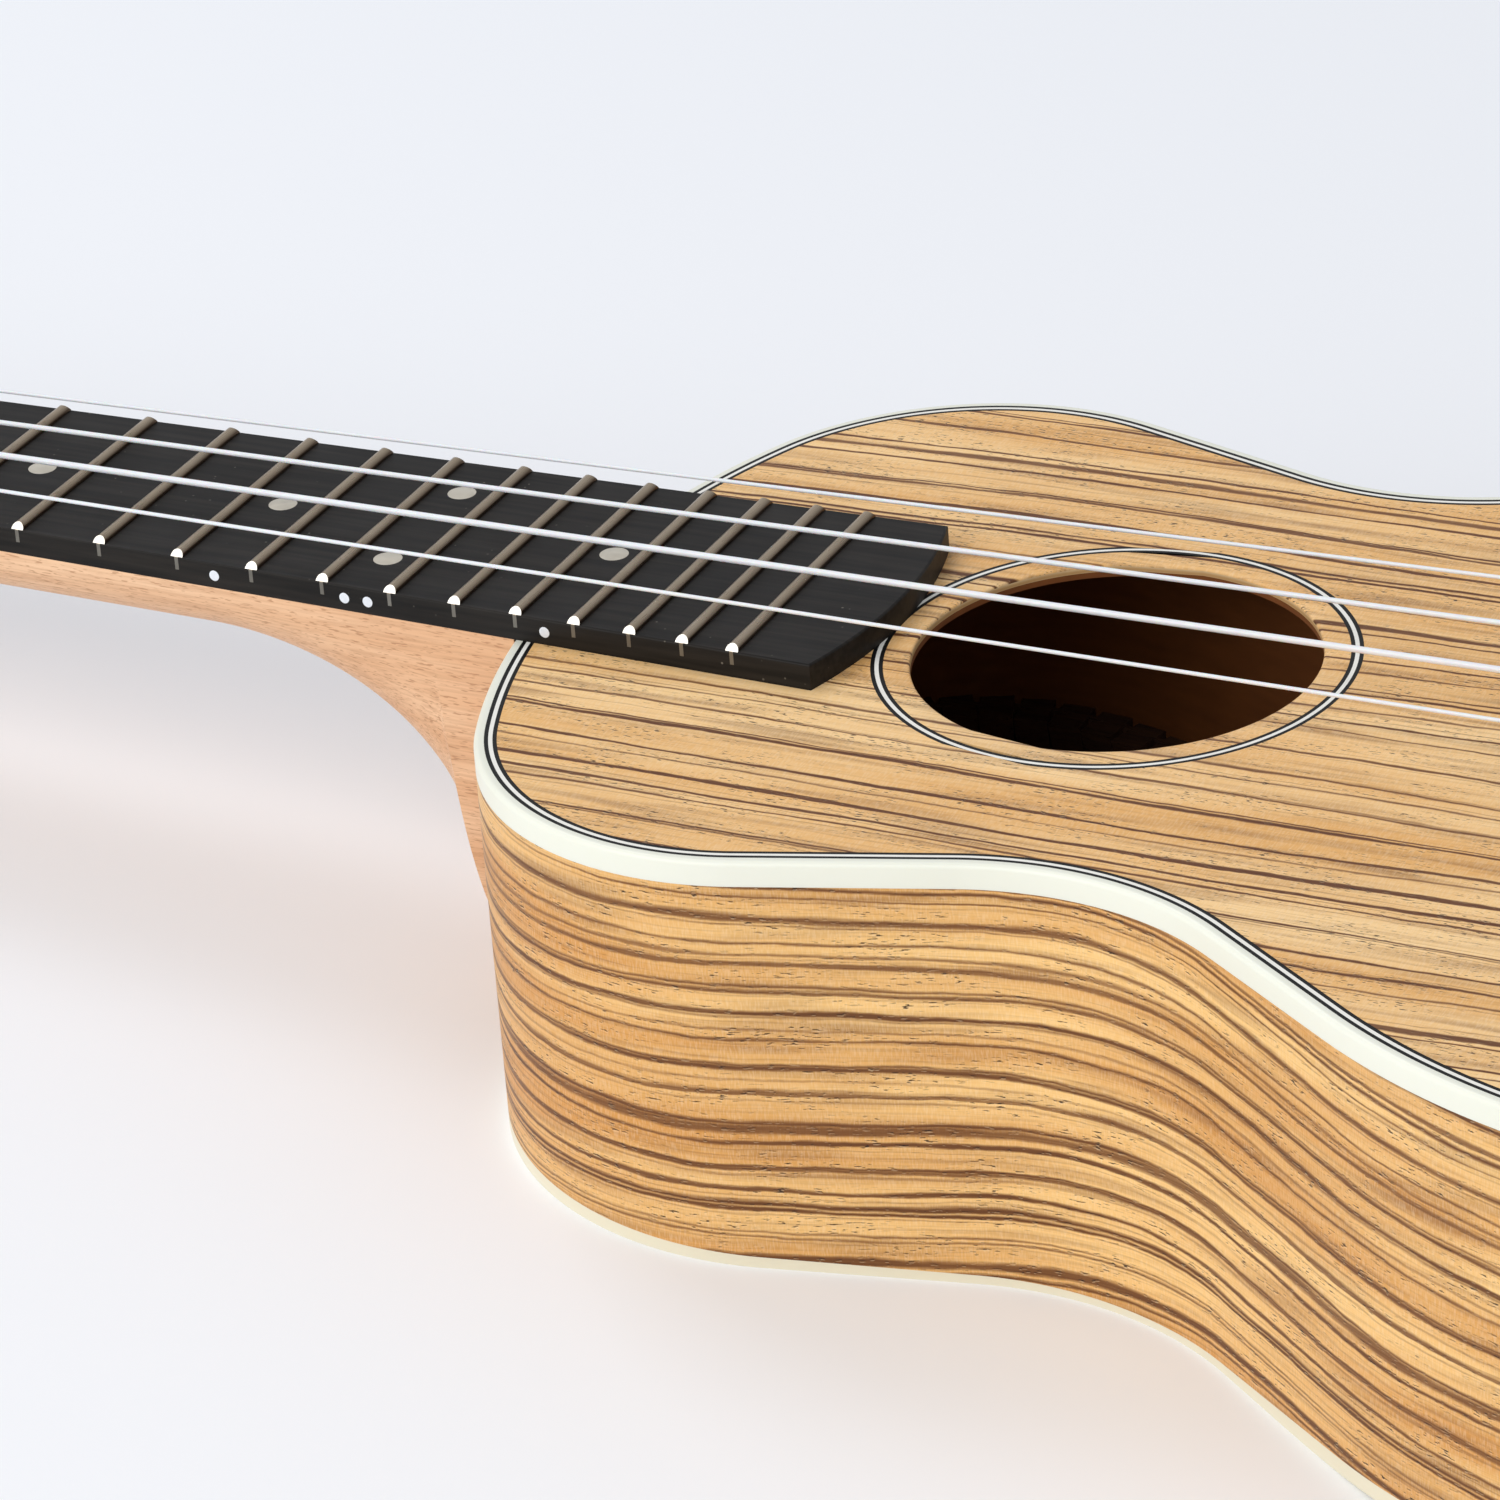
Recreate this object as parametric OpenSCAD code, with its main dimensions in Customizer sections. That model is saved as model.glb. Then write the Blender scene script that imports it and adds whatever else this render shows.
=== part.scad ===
// Concert ukulele lying on its back. The headstock points to -X and the tail to +X,
// the bass (G string) side is -Y, and the soundboard faces +Z.
// Inside the modules x is measured from the neck end of the body, z from the top of the soundboard.

/* [Body] */
// Length of the body
body_l = 285.4; // [230:0.1:350]
// Width across the upper bout
upper_w = 150.4; // [120:0.1:185]
// Width across the waist
waist_w = 124.4; // [95:0.1:150]
// Width across the lower bout
lower_w = 208.4; // [165:0.1:255]
// Depth of the body under the lower bout
tail_depth = 70.2; // [58:0.1:85]
// How much shallower the body is at the neck end
depth_taper = 10; // [4:0.1:16]
// Thickness of the soundboard
top_t = 2; // [1.4:0.1:3]
// Thickness of the back
back_t = 2; // [1.4:0.1:3]
// Thickness of the bent sides
side_t = 2; // [1.7:0.1:3]
// Radius of the soundhole
hole_r = 29.2; // [20:0.1:36]

/* [Binding and inlay] */
// Width of the binding seen from above
bind_w = 1.5; // [1:0.1:1.7]
// Height of the top binding on the side
bind_top_h = 3.7; // [2.5:0.1:6]
// Height of the back binding on the side
bind_back_h = 3; // [2.5:0.1:6]
// Width of each black or white line
line_w = 0.6; // [0.4:0.05:1]
// Depth of the rosette lines in the soundboard
rosette_depth = 1; // [0.5:0.1:1.3]
// Distance from the soundhole's edge to the rosette
rosette_gap = 3.8; // [2:0.1:8]

/* [Neck and fretboard] */
// String length from nut to saddle
scale_l = 381; // [330:1:460]
// Number of the fret at the body joint
joint_fret = 14; // [12:1:15]
// Number of frets
fret_count = 18; // [15:1:20]
// Width of the fretboard at the nut
nut_w = 33.7; // [30:0.1:40]
// Width of the fretboard at the body joint
joint_w = 44.8; // [40:0.1:54]
// Thickness of the fretboard
board_t = 4; // [3:0.1:6]
// Depth of the neck under the fretboard
neck_t = 12.9; // [10:0.1:18]
// Length of the fretboard past the last fret, at its corners
board_tail = 12.4; // [6:0.1:20]
// How far the rounded end of the fretboard bulges
board_bulge = 3.5; // [1:0.1:6]
// Radius of the curve from the neck into the heel
heel_r = 42; // [30:1:44]
// Length of the heel where it meets the back
heel_foot = 12; // [8:1:20]
// Thickness of the nut along the strings
nut_t = 5; // [3:0.1:7]

/* [Strings] */
// Spacing of the outer strings at the nut
nut_spread = 27.2; // [22:0.1:30]
// Spacing of the outer strings at the saddle
saddle_spread = 42.2; // [36:0.1:48]
// Height of the underside of the strings over the fretboard at the nut
nut_rise = 2.2; // [1.4:0.1:4]
// Height of the underside of the strings over the fretboard at the saddle
saddle_rise = 6.2; // [4.5:0.1:8]
// Diameters of the G, C, E and A strings
string_d = [0.6, 1, 0.8, 0.6];

/* [Headstock and tuners] */
// Length of the headstock
head_l = 146; // [125:1:180]
// Widest part of the headstock
head_w = 60; // [54:1:72]
// Thickness of the headstock without its veneer
head_t = 11; // [9:0.1:14]
// Thickness of the headstock veneer
veneer_t = 1.2; // [0.6:0.1:2]
// Angle by which the headstock leans back
head_tilt = 9; // [4:1:14]
// Distance of the first tuner row from the nut
row_1 = 42; // [36:1:50]
// Distance between the tuner rows
row_gap = 46; // [36:1:56]
// Distance of the string posts from the centre line
post_y = 18.5; // [16:0.1:22]
// Radius of a string post
post_r = 3; // [2.5:0.1:3.6]

/* [Clearances] */
// Gap filled by glue between the heel and the body
glue_gap = 0.05; // [0.02:0.01:0.2]
// Radial running clearance of the tuner shafts
run_gap = 0.05; // [0.02:0.01:0.1]
// Gap between a string and what it passes
string_gap = 0.06; // [0.04:0.01:0.15]

/* [Hidden] */
$fn = 48;

// Outline of the body: tangent arcs whose centres and radii go with the body's length
upper_r = 0.1476 * body_l;
waist_r = 0.159 * body_l;
lower_r = 0.3717 * body_l;
tail_r = 0.604 * body_l;
upper_c = [0.1701 * body_l, upper_w / 2 - upper_r];
waist_c = [0.3615 * body_l, waist_w / 2 + waist_r];
lower_c = [0.7404 * body_l, lower_w / 2 - lower_r];
corner_angle = 80;
arc_step = 4;
end_r = (pow(upper_c.x, 2) + pow(upper_c.y, 2) - pow(upper_r, 2)) / (2 * (upper_c.x - upper_r));
end_c = [end_r, 0];
corner_dir = [cos(corner_angle), sin(corner_angle)];
tail_c = [body_l - tail_r, 0];
corner_d = lower_c - tail_c + lower_r * corner_dir;
corner_r = (corner_d * corner_d - pow(tail_r, 2)) / (2 * (corner_d * corner_dir - tail_r));
corner_c = lower_c + (lower_r - corner_r) * corner_dir;
edge_w = bind_w + 3 * line_w;
rosette_r = hole_r + rosette_gap + 3 * line_w;

// Underside of the body: a taper under the upper bout that bends into a level lower bout
neck_depth = tail_depth - depth_taper;
bend_x = 0.4375 * body_l;
bend_r = 400;
taper = atan((tail_depth - neck_depth) / bend_x);
bend_half = bend_r * tan(taper / 2);
bend_steps = 6;
reach = body_l + 100;

// Inside of the body
lining_w = 5.5;
lining_h = 12;
block_l = 28;
block_w = 50;
tail_block_l = 16;
brace_w = 8;
brace_h = 9;
fan_w = 5;
fan_h = 5;
fan_gap = 28;
hole_x = 0.3025 * body_l;

// Along the strings
joint_x = bind_w + 1.5 * line_w;
nut_x = joint_x - scale_l * (1 - pow(2, -joint_fret / 12));
saddle_x = nut_x + scale_l;
nut_z = board_t + nut_rise;
saddle_z = board_t + saddle_rise;
board_end = fret_x(fret_count) + board_tail;
bulge_r = (pow(half_w(board_end), 2) + pow(board_bulge, 2)) / (2 * board_bulge);
fret_r = 1;
fret_inset = 0.35;
tang_w = 0.6;
tang_h = 2;
dot_r = 2.15;
dot_depth = 1.5;
side_dot_r = 0.85;
dot_frets = [[5, 0], [7, 0], [10, 0], [12, -1], [12, 1], [15, 0]];
dot_pair_y = 11.6;
side_dot_pair = 1.95;

// Neck and heel
heel_x = -heel_foot - heel_r;
heel_cap_t = 1.5;
heel_z = neck_depth - 0.8 - heel_cap_t;
heel_full = heel_z + 6;
ring_steps = 24;
heel_steps = 12;

// Bridge
saddle_t = 2.8;
saddle_l = 58;
saddle_seat = 2.4;
bridge_front = 6;
bridge_x = 24;
bridge_y = 84;
wing_h = 3.2;
block_h = 7;
block_y = 60;
trough = [4, 10];
tie_h = 6.4;
tie_z = 4.7;
tie_hole_r = 0.9;
knot_r = 1.5;
tube_sides = 12;
nut_slot_depth = 0.9;

// Tuners, each with its post at the origin, its face of the headstock at z = 0 and its button at +y
back_z = -veneer_t - head_t;
plate_t = 1.2;
plate_l = 30;
plate_w = 14;
gear_teeth = 14;
gear_module = 1;
gear_pitch_r = gear_teeth * gear_module / 2;
gear_tip_r = gear_pitch_r + 0.8;
gear_root_r = gear_pitch_r - 0.8;
gear_t = 3;
worm_mean_r = 2.6;
worm_throw = 0.9;
worm_lead = PI * gear_module;
worm_turns = 2.5;
worm_l = worm_turns * worm_lead;
shaft_r = 1.5;
mesh_d = gear_pitch_r + worm_mean_r + 0.3;
worm_top_gap = 0.5;
worm_z = back_z - plate_t - worm_top_gap - worm_mean_r - worm_throw;
gear_top = worm_z + gear_t / 2;
ear_t = 1.2;
ear_y = worm_l / 2 + 0.25;
ear_r = 3.2;
button_y = head_w / 2 - post_y + 4;
button_l = 13;
button_w = 15;
button_t = 7;
button_bite = 9;
bush_r = post_r + 1.5;
bush_flange_r = bush_r + 1.5;
bush_flange_t = 1;
post_h = 11;
wind_z = 2.2;
wind_turns = 3;
groove_r = post_r;
gear_seat_r = 2.2;
gear_screw_r = 1.1;
screw_r = 1.2;
screw_head_r = 2.2;
screw_l = 8;

function fret_x(n) = nut_x + scale_l * (1 - pow(2, -n / 12));
function half_w(x) = (nut_w + (joint_w - nut_w) * (x - nut_x) / (joint_x - nut_x)) / 2;
function lerp(a, b, t) = a + (b - a) * t;
function string_y(i, x) = lerp(nut_spread, saddle_spread, (x - nut_x) / scale_l) * (i / 3 - 0.5);
function string_r(i) = string_d[i] / 2;
function string_z(i, x) = lerp(nut_z, saddle_z, (x - nut_x) / scale_l) + string_r(i) + string_gap;

// Points on an arc of centre c and radius r from angle a to angle b
function arc(c, r, a, b) =
    let (n = max(2, ceil(abs(b - a) / arc_step)))
    [for (i = [0:n]) c + r * [cos(lerp(a, b, i / n)), sin(lerp(a, b, i / n))]];

// Direction in which the straight run between two circles on opposite sides of it touches them
function tangent_angle(c1, r1, c2, r2, turn) =
    let (d = c2 - c1)
    atan2(d.y, d.x) + turn * acos(min(1, (r1 + r2) / norm(d)));

upper_turn = tangent_angle(upper_c, upper_r, waist_c, waist_r, 1);
lower_turn = tangent_angle(lower_c, lower_r, waist_c, waist_r, -1);
end_turn = atan2(upper_c.y, upper_c.x - end_r);
tail_turn = atan2(corner_c.y, corner_c.x - tail_c.x);

// One half of the outline, from the neck end to the tail, moved inwards
function half_outline(inset) = concat(
    arc(end_c, end_r - inset, 180, end_turn),
    arc(upper_c, upper_r - inset, end_turn, upper_turn),
    arc(waist_c, waist_r + inset, upper_turn + 180, lower_turn + 180),
    arc(lower_c, lower_r - inset, lower_turn, corner_angle),
    arc(corner_c, corner_r - inset, corner_angle, tail_turn),
    arc(tail_c, tail_r - inset, tail_turn, 0)
);

// Leaves out points that repeat the one before
function thin(p) = [for (i = [0:len(p) - 1]) if (i == 0 || norm(p[i] - p[i - 1]) > 0.01) p[i]];

module outline(inset) {
    h = thin(half_outline(inset));
    n = len(h);
    polygon(concat(h, [for (i = [n - 2:-1:1]) [h[i].x, -h[i].y]]));
}

module band(outer, inner) {
    difference() {
        outline(outer);
        outline(inner);
    }
}

// Height of the underside of the body, as a line of points, moved up by lift
function underside(lift) = let (r = bend_r - lift) concat(
    [[bend_x - bend_half - reach * cos(taper), -tail_depth + bend_half * sin(taper) + reach * sin(taper)]
        + lift * [sin(taper), cos(taper)]],
    [for (i = [0:bend_steps])
        let (a = -90 - taper * (1 - i / bend_steps))
        [bend_x + bend_half, bend_r - tail_depth] + r * [cos(a), sin(a)]],
    [[reach, lift - tail_depth]]
);

// What lies between two heights over the underside, or between one height and a level top
module layer(low, high) {
    p = underside(low);
    q = underside(high);
    rotate([90, 0, 0])
        linear_extrude(2 * lower_w, center = true)
            polygon(concat(p, [for (i = [len(q) - 1:-1:0]) q[i]]));
}

module above(low, top) {
    p = underside(low);
    rotate([90, 0, 0])
        linear_extrude(2 * lower_w, center = true)
            polygon(concat(p, [[reach, top], [p[0].x, top]]));
}

module column(h = 200) {
    translate([0, 0, -h])
        linear_extrude(h)
            children();
}

// Moves the finished instrument so that its base is at z = 0 and its box is centred
head_tip_x = nut_x - nut_t - head_l * cos(head_tilt);
module place() {
    translate([-(body_l + head_tip_x) / 2, 0, tail_depth])
        children();
}

module on_headstock() {
    translate([nut_x - nut_t, 0, 0])
        rotate([0, -head_tilt, 0])
            children();
}

// Tuner 1 is the G string's, 2 the C string's, 3 the E string's and 4 the A string's
function tuner_side(i) = i <= 2 ? -1 : 1;
function tuner_row(i) = (i == 1 || i == 4) ? row_1 : row_1 + row_gap;

module at_tuner(i) {
    on_headstock()
        translate([-tuner_row(i), tuner_side(i) * post_y, 0])
            rotate([0, 0, tuner_side(i) < 0 ? 180 : 0])
                children();
}

// A bar with tube_sides sides through points p, with radius r[i] at point p[i]
function ring_at(p, r, along) =
    let (side = cross(along, [0, 0, 1]) / norm(cross(along, [0, 0, 1])), up = cross(side, along))
    [for (j = [0:tube_sides - 1]) p + r * (cos(360 * j / tube_sides) * side + sin(360 * j / tube_sides) * up)];

module tube(p, r) {
    n = len(p);
    d = [for (i = [0:n - 2]) (p[i + 1] - p[i]) / norm(p[i + 1] - p[i])];
    along = [for (i = [0:n - 1]) let (v = d[max(0, i - 1)] + d[min(n - 2, i)]) v / norm(v)];
    rings = [for (i = [0:n - 1], q = ring_at(p[i], r[i], along[i])) q];
    skin = [for (i = [0:n - 2], j = [0:tube_sides - 1])
        let (k = (j + 1) % tube_sides, a = i * tube_sides, b = (i + 1) * tube_sides)
        each [[a + j, b + k, a + k], [a + j, b + j, b + k]]];
    caps = [[for (j = [0:tube_sides - 1]) j], [for (j = [tube_sides - 1:-1:0]) (n - 1) * tube_sides + j]];
    polyhedron(rings, concat(skin, caps));
}

// ---------- body ----------
module soundboard() {
    color("burlywood") place()
        difference() {
            translate([0, 0, -top_t])
                linear_extrude(top_t)
                    difference() {
                        outline(edge_w);
                        translate([hole_x, 0])
                            circle(hole_r);
                    }
            rosette_ring(rosette_r - 3 * line_w, rosette_r, 1);
        }
}

module rosette_ring(inner, outer, over = 0) {
    translate([hole_x, 0, -rosette_depth])
        difference() {
            cylinder(h = rosette_depth + over, r = outer);
            translate([0, 0, -1])
                cylinder(h = rosette_depth + over + 2, r = inner);
        }
}

module rosette_black() {
    color("black") place() {
        rosette_ring(rosette_r - line_w, rosette_r);
        rosette_ring(rosette_r - 3 * line_w, rosette_r - 2 * line_w);
    }
}

module rosette_white() {
    color("white") place()
        rosette_ring(rosette_r - 2 * line_w, rosette_r - line_w);
}

module back_plate() {
    color("peru") place()
        intersection() {
            column()
                outline(bind_w);
            layer(0, back_t);
        }
}

// Both bent sides, cut away at the top and the back for the bindings
module sides() {
    difference() {
        intersection() {
            translate([0, 0, -top_t])
                column()
                    band(0, side_t);
            above(back_t, 0);
        }
        translate([0, 0, -bind_top_h])
            linear_extrude(bind_top_h)
                band(-1, bind_w);
        intersection() {
            column()
                band(-1, bind_w);
            layer(-1, bind_back_h);
        }
    }
}

module half_space(side) {
    translate([-50, side < 0 ? -lower_w : 0, -150])
        cube([body_l + 100, lower_w, 200]);
}

module side_bass() {
    color("sandybrown") place()
        intersection() {
            sides();
            half_space(-1);
        }
}

module side_treble() {
    color("sandybrown") place()
        intersection() {
            sides();
            half_space(1);
        }
}

module binding_top() {
    color("ivory") place()
        translate([0, 0, -bind_top_h])
            linear_extrude(bind_top_h)
                band(0, bind_w);
}

module binding_back() {
    color("ivory") place()
        intersection() {
            column()
                band(0, bind_w);
            layer(0, bind_back_h);
        }
}

module purfling(from, to) {
    translate([0, 0, -top_t])
        linear_extrude(top_t)
            band(bind_w + from * line_w, bind_w + to * line_w);
}

module purfling_black() {
    color("black") place() {
        purfling(0, 1);
        purfling(2, 3);
    }
}

module purfling_white() {
    color("white") place()
        purfling(1, 2);
}

// ---------- inside the body ----------
module inside_column(inset) {
    translate([0, 0, -top_t])
        column()
            outline(inset);
}

module block_box(x0, x1, w) {
    translate([x0, -w / 2, -150])
        cube([x1 - x0, w, 200]);
}

module neck_block() {
    color("tan") place()
        intersection() {
            inside_column(side_t);
            above(back_t, 0);
            block_box(-1, block_l, block_w);
        }
}

module tail_block() {
    color("tan") place()
        intersection() {
            inside_column(side_t);
            above(back_t, 0);
            block_box(body_l - side_t - tail_block_l, body_l, block_w);
        }
}

module clear_of_blocks() {
    difference() {
        children();
        block_box(-1, block_l, block_w);
        block_box(body_l - side_t - tail_block_l, body_l, block_w);
    }
}

module lining_top() {
    color("wheat") place()
        clear_of_blocks()
            translate([0, 0, -top_t - lining_h])
                linear_extrude(lining_h)
                    band(side_t, side_t + lining_w);
}

module lining_back() {
    color("wheat") place()
        clear_of_blocks()
            intersection() {
                column()
                    band(side_t, side_t + lining_w);
                layer(back_t, back_t + lining_h);
            }
}

brace_xs = [hole_x - hole_r - 14, hole_x + hole_r + 12];
fan_start = saddle_x + bridge_x - bridge_front + 8;
fan_end = body_l - side_t - lining_w - 10;

module top_braces() {
    color("wheat") place()
        intersection() {
            inside_column(side_t + lining_w);
            union() {
                for (x = brace_xs)
                    translate([x - brace_w / 2, -lower_w / 2, -top_t - brace_h])
                        cube([brace_w, lower_w, brace_h]);
                for (y = [-fan_gap, 0, fan_gap])
                    translate([fan_start, y - fan_w / 2, -top_t - fan_h])
                        cube([max(10, min(fan_end, body_l - tail_block_l - side_t - 2) - fan_start), fan_w, fan_h]);
            }
        }
}

module bridge_plate() {
    color("tan") place()
        translate([saddle_x - bridge_front - 2, -bridge_y / 2 - 8, -top_t - 2])
            cube([bridge_x + 4, bridge_y + 16, 2]);
}

module back_braces() {
    color("wheat") place()
        intersection() {
            inside_column(side_t + lining_w);
            layer(back_t, back_t + brace_h);
            union() {
                for (x = [0.22, 0.48, 0.76] * body_l)
                    translate([x - brace_w / 2, -lower_w / 2, -150])
                        cube([brace_w, lower_w, 200]);
            }
        }
}

// ---------- neck ----------
// Slices of the neck as [x, depth], from the nut to the body
neck_slices = concat(
    [[nut_x - nut_t, neck_t - 0.9], [lerp(nut_x, heel_x, 0.5), neck_t - 0.4], [heel_x, neck_t]],
    [for (i = [1:heel_steps])
        let (a = 88 * i / heel_steps)
        [heel_x + heel_r * sin(a), neck_t + heel_r * (1 - cos(a))]],
    [[-heel_foot + 0.6, heel_full], [0, heel_full]]
);

// One slice: a rounded half section under the fretboard, cut level at the heel cap.
// The last one is bent to the curve of the body's end.
function slice(x, depth, at_body) = [for (i = [0:ring_steps])
    let (a = 180 * i / ring_steps, y = -half_w(x) * cos(a), z = -min(depth * sin(a), heel_z))
    [at_body ? end_r - sqrt(pow(end_r + glue_gap, 2) - y * y) : x, y, z]];

module neck() {
    n = len(neck_slices);
    last = ring_steps;
    m = last + 1;
    foot = (n - 1) * m;
    mid = last / 2;
    body_end = slice(neck_slices[n - 1][0], neck_slices[n - 1][1], true);
    // the edge of the body end that lies under the fretboard, above each point of its slice
    edge = [for (j = [0:last]) (j == 0 || j == last) ? foot + j : n * m + j - 1];
    points = concat(
        [for (i = [0:n - 2], p = slice(neck_slices[i][0], neck_slices[i][1], false)) p],
        body_end,
        [for (j = [1:last - 1]) [body_end[j].x, body_end[j].y, 0]],
        [[neck_slices[0][0], 0, -neck_t / 2]]
    );
    skin = [for (i = [0:n - 2], j = [0:(i == n - 2 ? last - 1 : last)])
        let (k = (j + 1) % m, a = i * m, b = (i + 1) * m)
        each [[a + j, a + k, b + j], [a + k, b + k, b + j]]];
    top = [for (j = [0:last - 1]) [foot - m + (j < mid ? 0 : last), edge[j], edge[j + 1]]];
    glued_end = concat(
        [for (j = [1:last - 1]) [edge[j], foot + j, foot + j + 1]],
        [for (j = [0:last - 2]) [edge[j], foot + j + 1, edge[j + 1]]]
    );
    nut_end = [for (j = [0:last]) [len(points) - 1, (j + 1) % m, j]];
    color("rosybrown") place()
        polyhedron(points, concat(skin, top, [[foot - 1, foot - m, edge[mid]]], glued_end, nut_end));
}

module heel_cap() {
    half = half_w(0) * sqrt(1 - pow(heel_z / heel_full, 2));
    color("ivory") place()
        translate([0, 0, -heel_z - heel_cap_t])
            linear_extrude(heel_cap_t)
                difference() {
                    union() {
                        translate([-heel_foot + half, 0])
                            circle(half);
                        translate([-heel_foot + half, -half])
                            square([end_r / 4, 2 * half]);
                    }
                    translate([end_r, 0])
                        circle(end_r + glue_gap, $fn = 200);
                }
}

// Half width of the headstock at distance d from the nut
function swell(t) = let (c = min(1, max(0, t))) c * c * (3 - 2 * c);
function head_half(d) = lerp(half_w(nut_x - nut_t), head_w / 2, swell((d - 6) / 24))
    - 2.5 * swell((d - 40) / (head_l - 40)) - 11 * pow(max(0, (d - head_l + 22) / 22), 3);
head_step = 2;

module head_outline() {
    side = [for (d = [-12:head_step:head_l - 5]) [-d, head_half(d)]];
    last = side[len(side) - 1];
    crown = [for (t = [0.25:0.25:1]) [lerp(last.x, -head_l, sin(90 * t)), last.y * cos(90 * t) + 0.001]];
    half = concat(side, crown);
    polygon(concat(half, [for (i = [len(half) - 2:-1:0]) [half[i].x, -half[i].y]]));
}

// Keeps the part of the headstock that lies beyond the nut
module beyond_nut() {
    difference() {
        children();
        translate([nut_x - nut_t, -head_w, -60])
            cube([60, 2 * head_w, 120]);
    }
}

module post_holes(r) {
    for (i = [1:4])
        translate([-tuner_row(i), tuner_side(i) * post_y, back_z - 1])
            cylinder(h = 40, r = r);
}

module screw_places() {
    for (i = [1:4])
        at_tuner(i)
            for (x = [-plate_l + 9, 7.2])
                translate([x, 0, back_z])
                    children();
}

module headstock() {
    color("rosybrown") place()
        difference() {
            beyond_nut()
                on_headstock()
                    translate([0, 0, back_z])
                        linear_extrude(head_t)
                            head_outline();
            on_headstock()
                post_holes(bush_r);
            screw_places()
                cylinder(h = screw_l - plate_t, r = screw_r);
        }
}

module headstock_veneer() {
    color("burlywood") place()
        difference() {
            beyond_nut()
                on_headstock()
                    translate([0, 0, -veneer_t])
                        linear_extrude(veneer_t)
                            head_outline();
            on_headstock()
                post_holes(bush_r);
        }
}

// ---------- fretboard ----------
module board_outline() {
    a = asin(half_w(board_end) / bulge_r);
    tip = arc([board_end + board_bulge - bulge_r, 0], bulge_r, a, -a);
    polygon(concat([[nut_x, -half_w(nut_x)], [nut_x, half_w(nut_x)]], tip));
}

module board_blank() {
    linear_extrude(board_t)
        board_outline();
}

function dot_x(n) = (fret_x(n) + fret_x(n - 1)) / 2;

module dots(grow = 0) {
    for (d = dot_frets)
        translate([dot_x(d[0]), d[1] * dot_pair_y, board_t - dot_depth])
            cylinder(h = dot_depth + grow, r = dot_r);
}

module side_pins() {
    for (d = dot_frets)
        translate([dot_x(d[0]) + d[1] * side_dot_pair, -half_w(dot_x(d[0])) + dot_depth, board_t / 2])
            rotate([90, 0, 0])
                cylinder(h = dot_depth + 2, r = side_dot_r);
}

module fretboard() {
    color([0.1, 0.1, 0.1]) place()
        difference() {
            board_blank();
            for (n = [1:fret_count])
                translate([fret_x(n) - tang_w / 2, -nut_w, board_t - tang_h])
                    cube([tang_w, 2 * nut_w, tang_h + 1]);
            dots(1);
            side_pins();
        }
}

module frets() {
    color("silver") place()
        for (n = [1:fret_count]) {
            w = half_w(fret_x(n));
            translate([fret_x(n), 0, board_t]) {
                intersection() {
                    rotate([90, 0, 0])
                        cylinder(h = 2 * (w - fret_inset), r = fret_r, center = true);
                    translate([-5, -w, 0])
                        cube([10, 2 * w, 5]);
                }
                translate([-tang_w / 2, -w + 0.1, -tang_h])
                    cube([tang_w, 2 * w - 0.2, tang_h]);
            }
        }
}

module position_dots() {
    color("gainsboro") place()
        dots();
}

module side_dots() {
    color("white") place()
        intersection() {
            board_blank();
            side_pins();
        }
}

module nut() {
    color("ivory") place()
        difference() {
            translate([nut_x - nut_t, -half_w(nut_x), 0])
                cube([nut_t, 2 * half_w(nut_x), nut_z + nut_slot_depth]);
            for (i = [0:3])
                translate([nut_x - nut_t - 1, string_y(i, nut_x) - string_r(i) - string_gap, nut_z - 0.05])
                    cube([nut_t + 2, 2 * (string_r(i) + string_gap), 3]);
        }
}

// ---------- bridge ----------
module bridge() {
    x0 = saddle_x - bridge_front;
    color([0.15, 0.12, 0.1]) place()
        difference() {
            union() {
                linear_extrude(wing_h)
                    intersection() {
                        translate([x0, -bridge_y / 2])
                            square([bridge_x, bridge_y]);
                        translate([x0 + bridge_x / 2, 0])
                            circle(bridge_y / 2 + 0.5, $fn = 96);
                    }
                translate([x0, -block_y / 2, 0])
                    cube([bridge_front + trough[0], block_y, block_h]);
                translate([saddle_x + trough[1], -block_y / 2, 0])
                    cube([bridge_x - bridge_front - trough[1], block_y, tie_h]);
            }
            translate([saddle_x - saddle_t / 2, -saddle_l / 2, saddle_seat])
                cube([saddle_t, saddle_l, 20]);
            for (i = [0:3])
                translate([saddle_x + trough[1] - 1, string_y(i, saddle_x), tie_z])
                    rotate([0, 90, 0])
                        cylinder(h = bridge_x, r = tie_hole_r);
        }
}

module saddle() {
    color("ivory") place()
        translate([saddle_x - saddle_t / 2, -saddle_l / 2, saddle_seat])
            cube([saddle_t, saddle_l, saddle_z - saddle_seat]);
}

// ---------- strings ----------
// Where string i leaves towards the winding on its post
function post_xy(i) = [-tuner_row(i + 1), tuner_side(i + 1) * post_y];
function winding_r(i) = groove_r + 2 * string_r(i);
function from_head(p) = [
    nut_x - nut_t + p.x * cos(head_tilt) - p.z * sin(head_tilt),
    p.y,
    p.x * sin(head_tilt) + p.z * cos(head_tilt)
];

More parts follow.
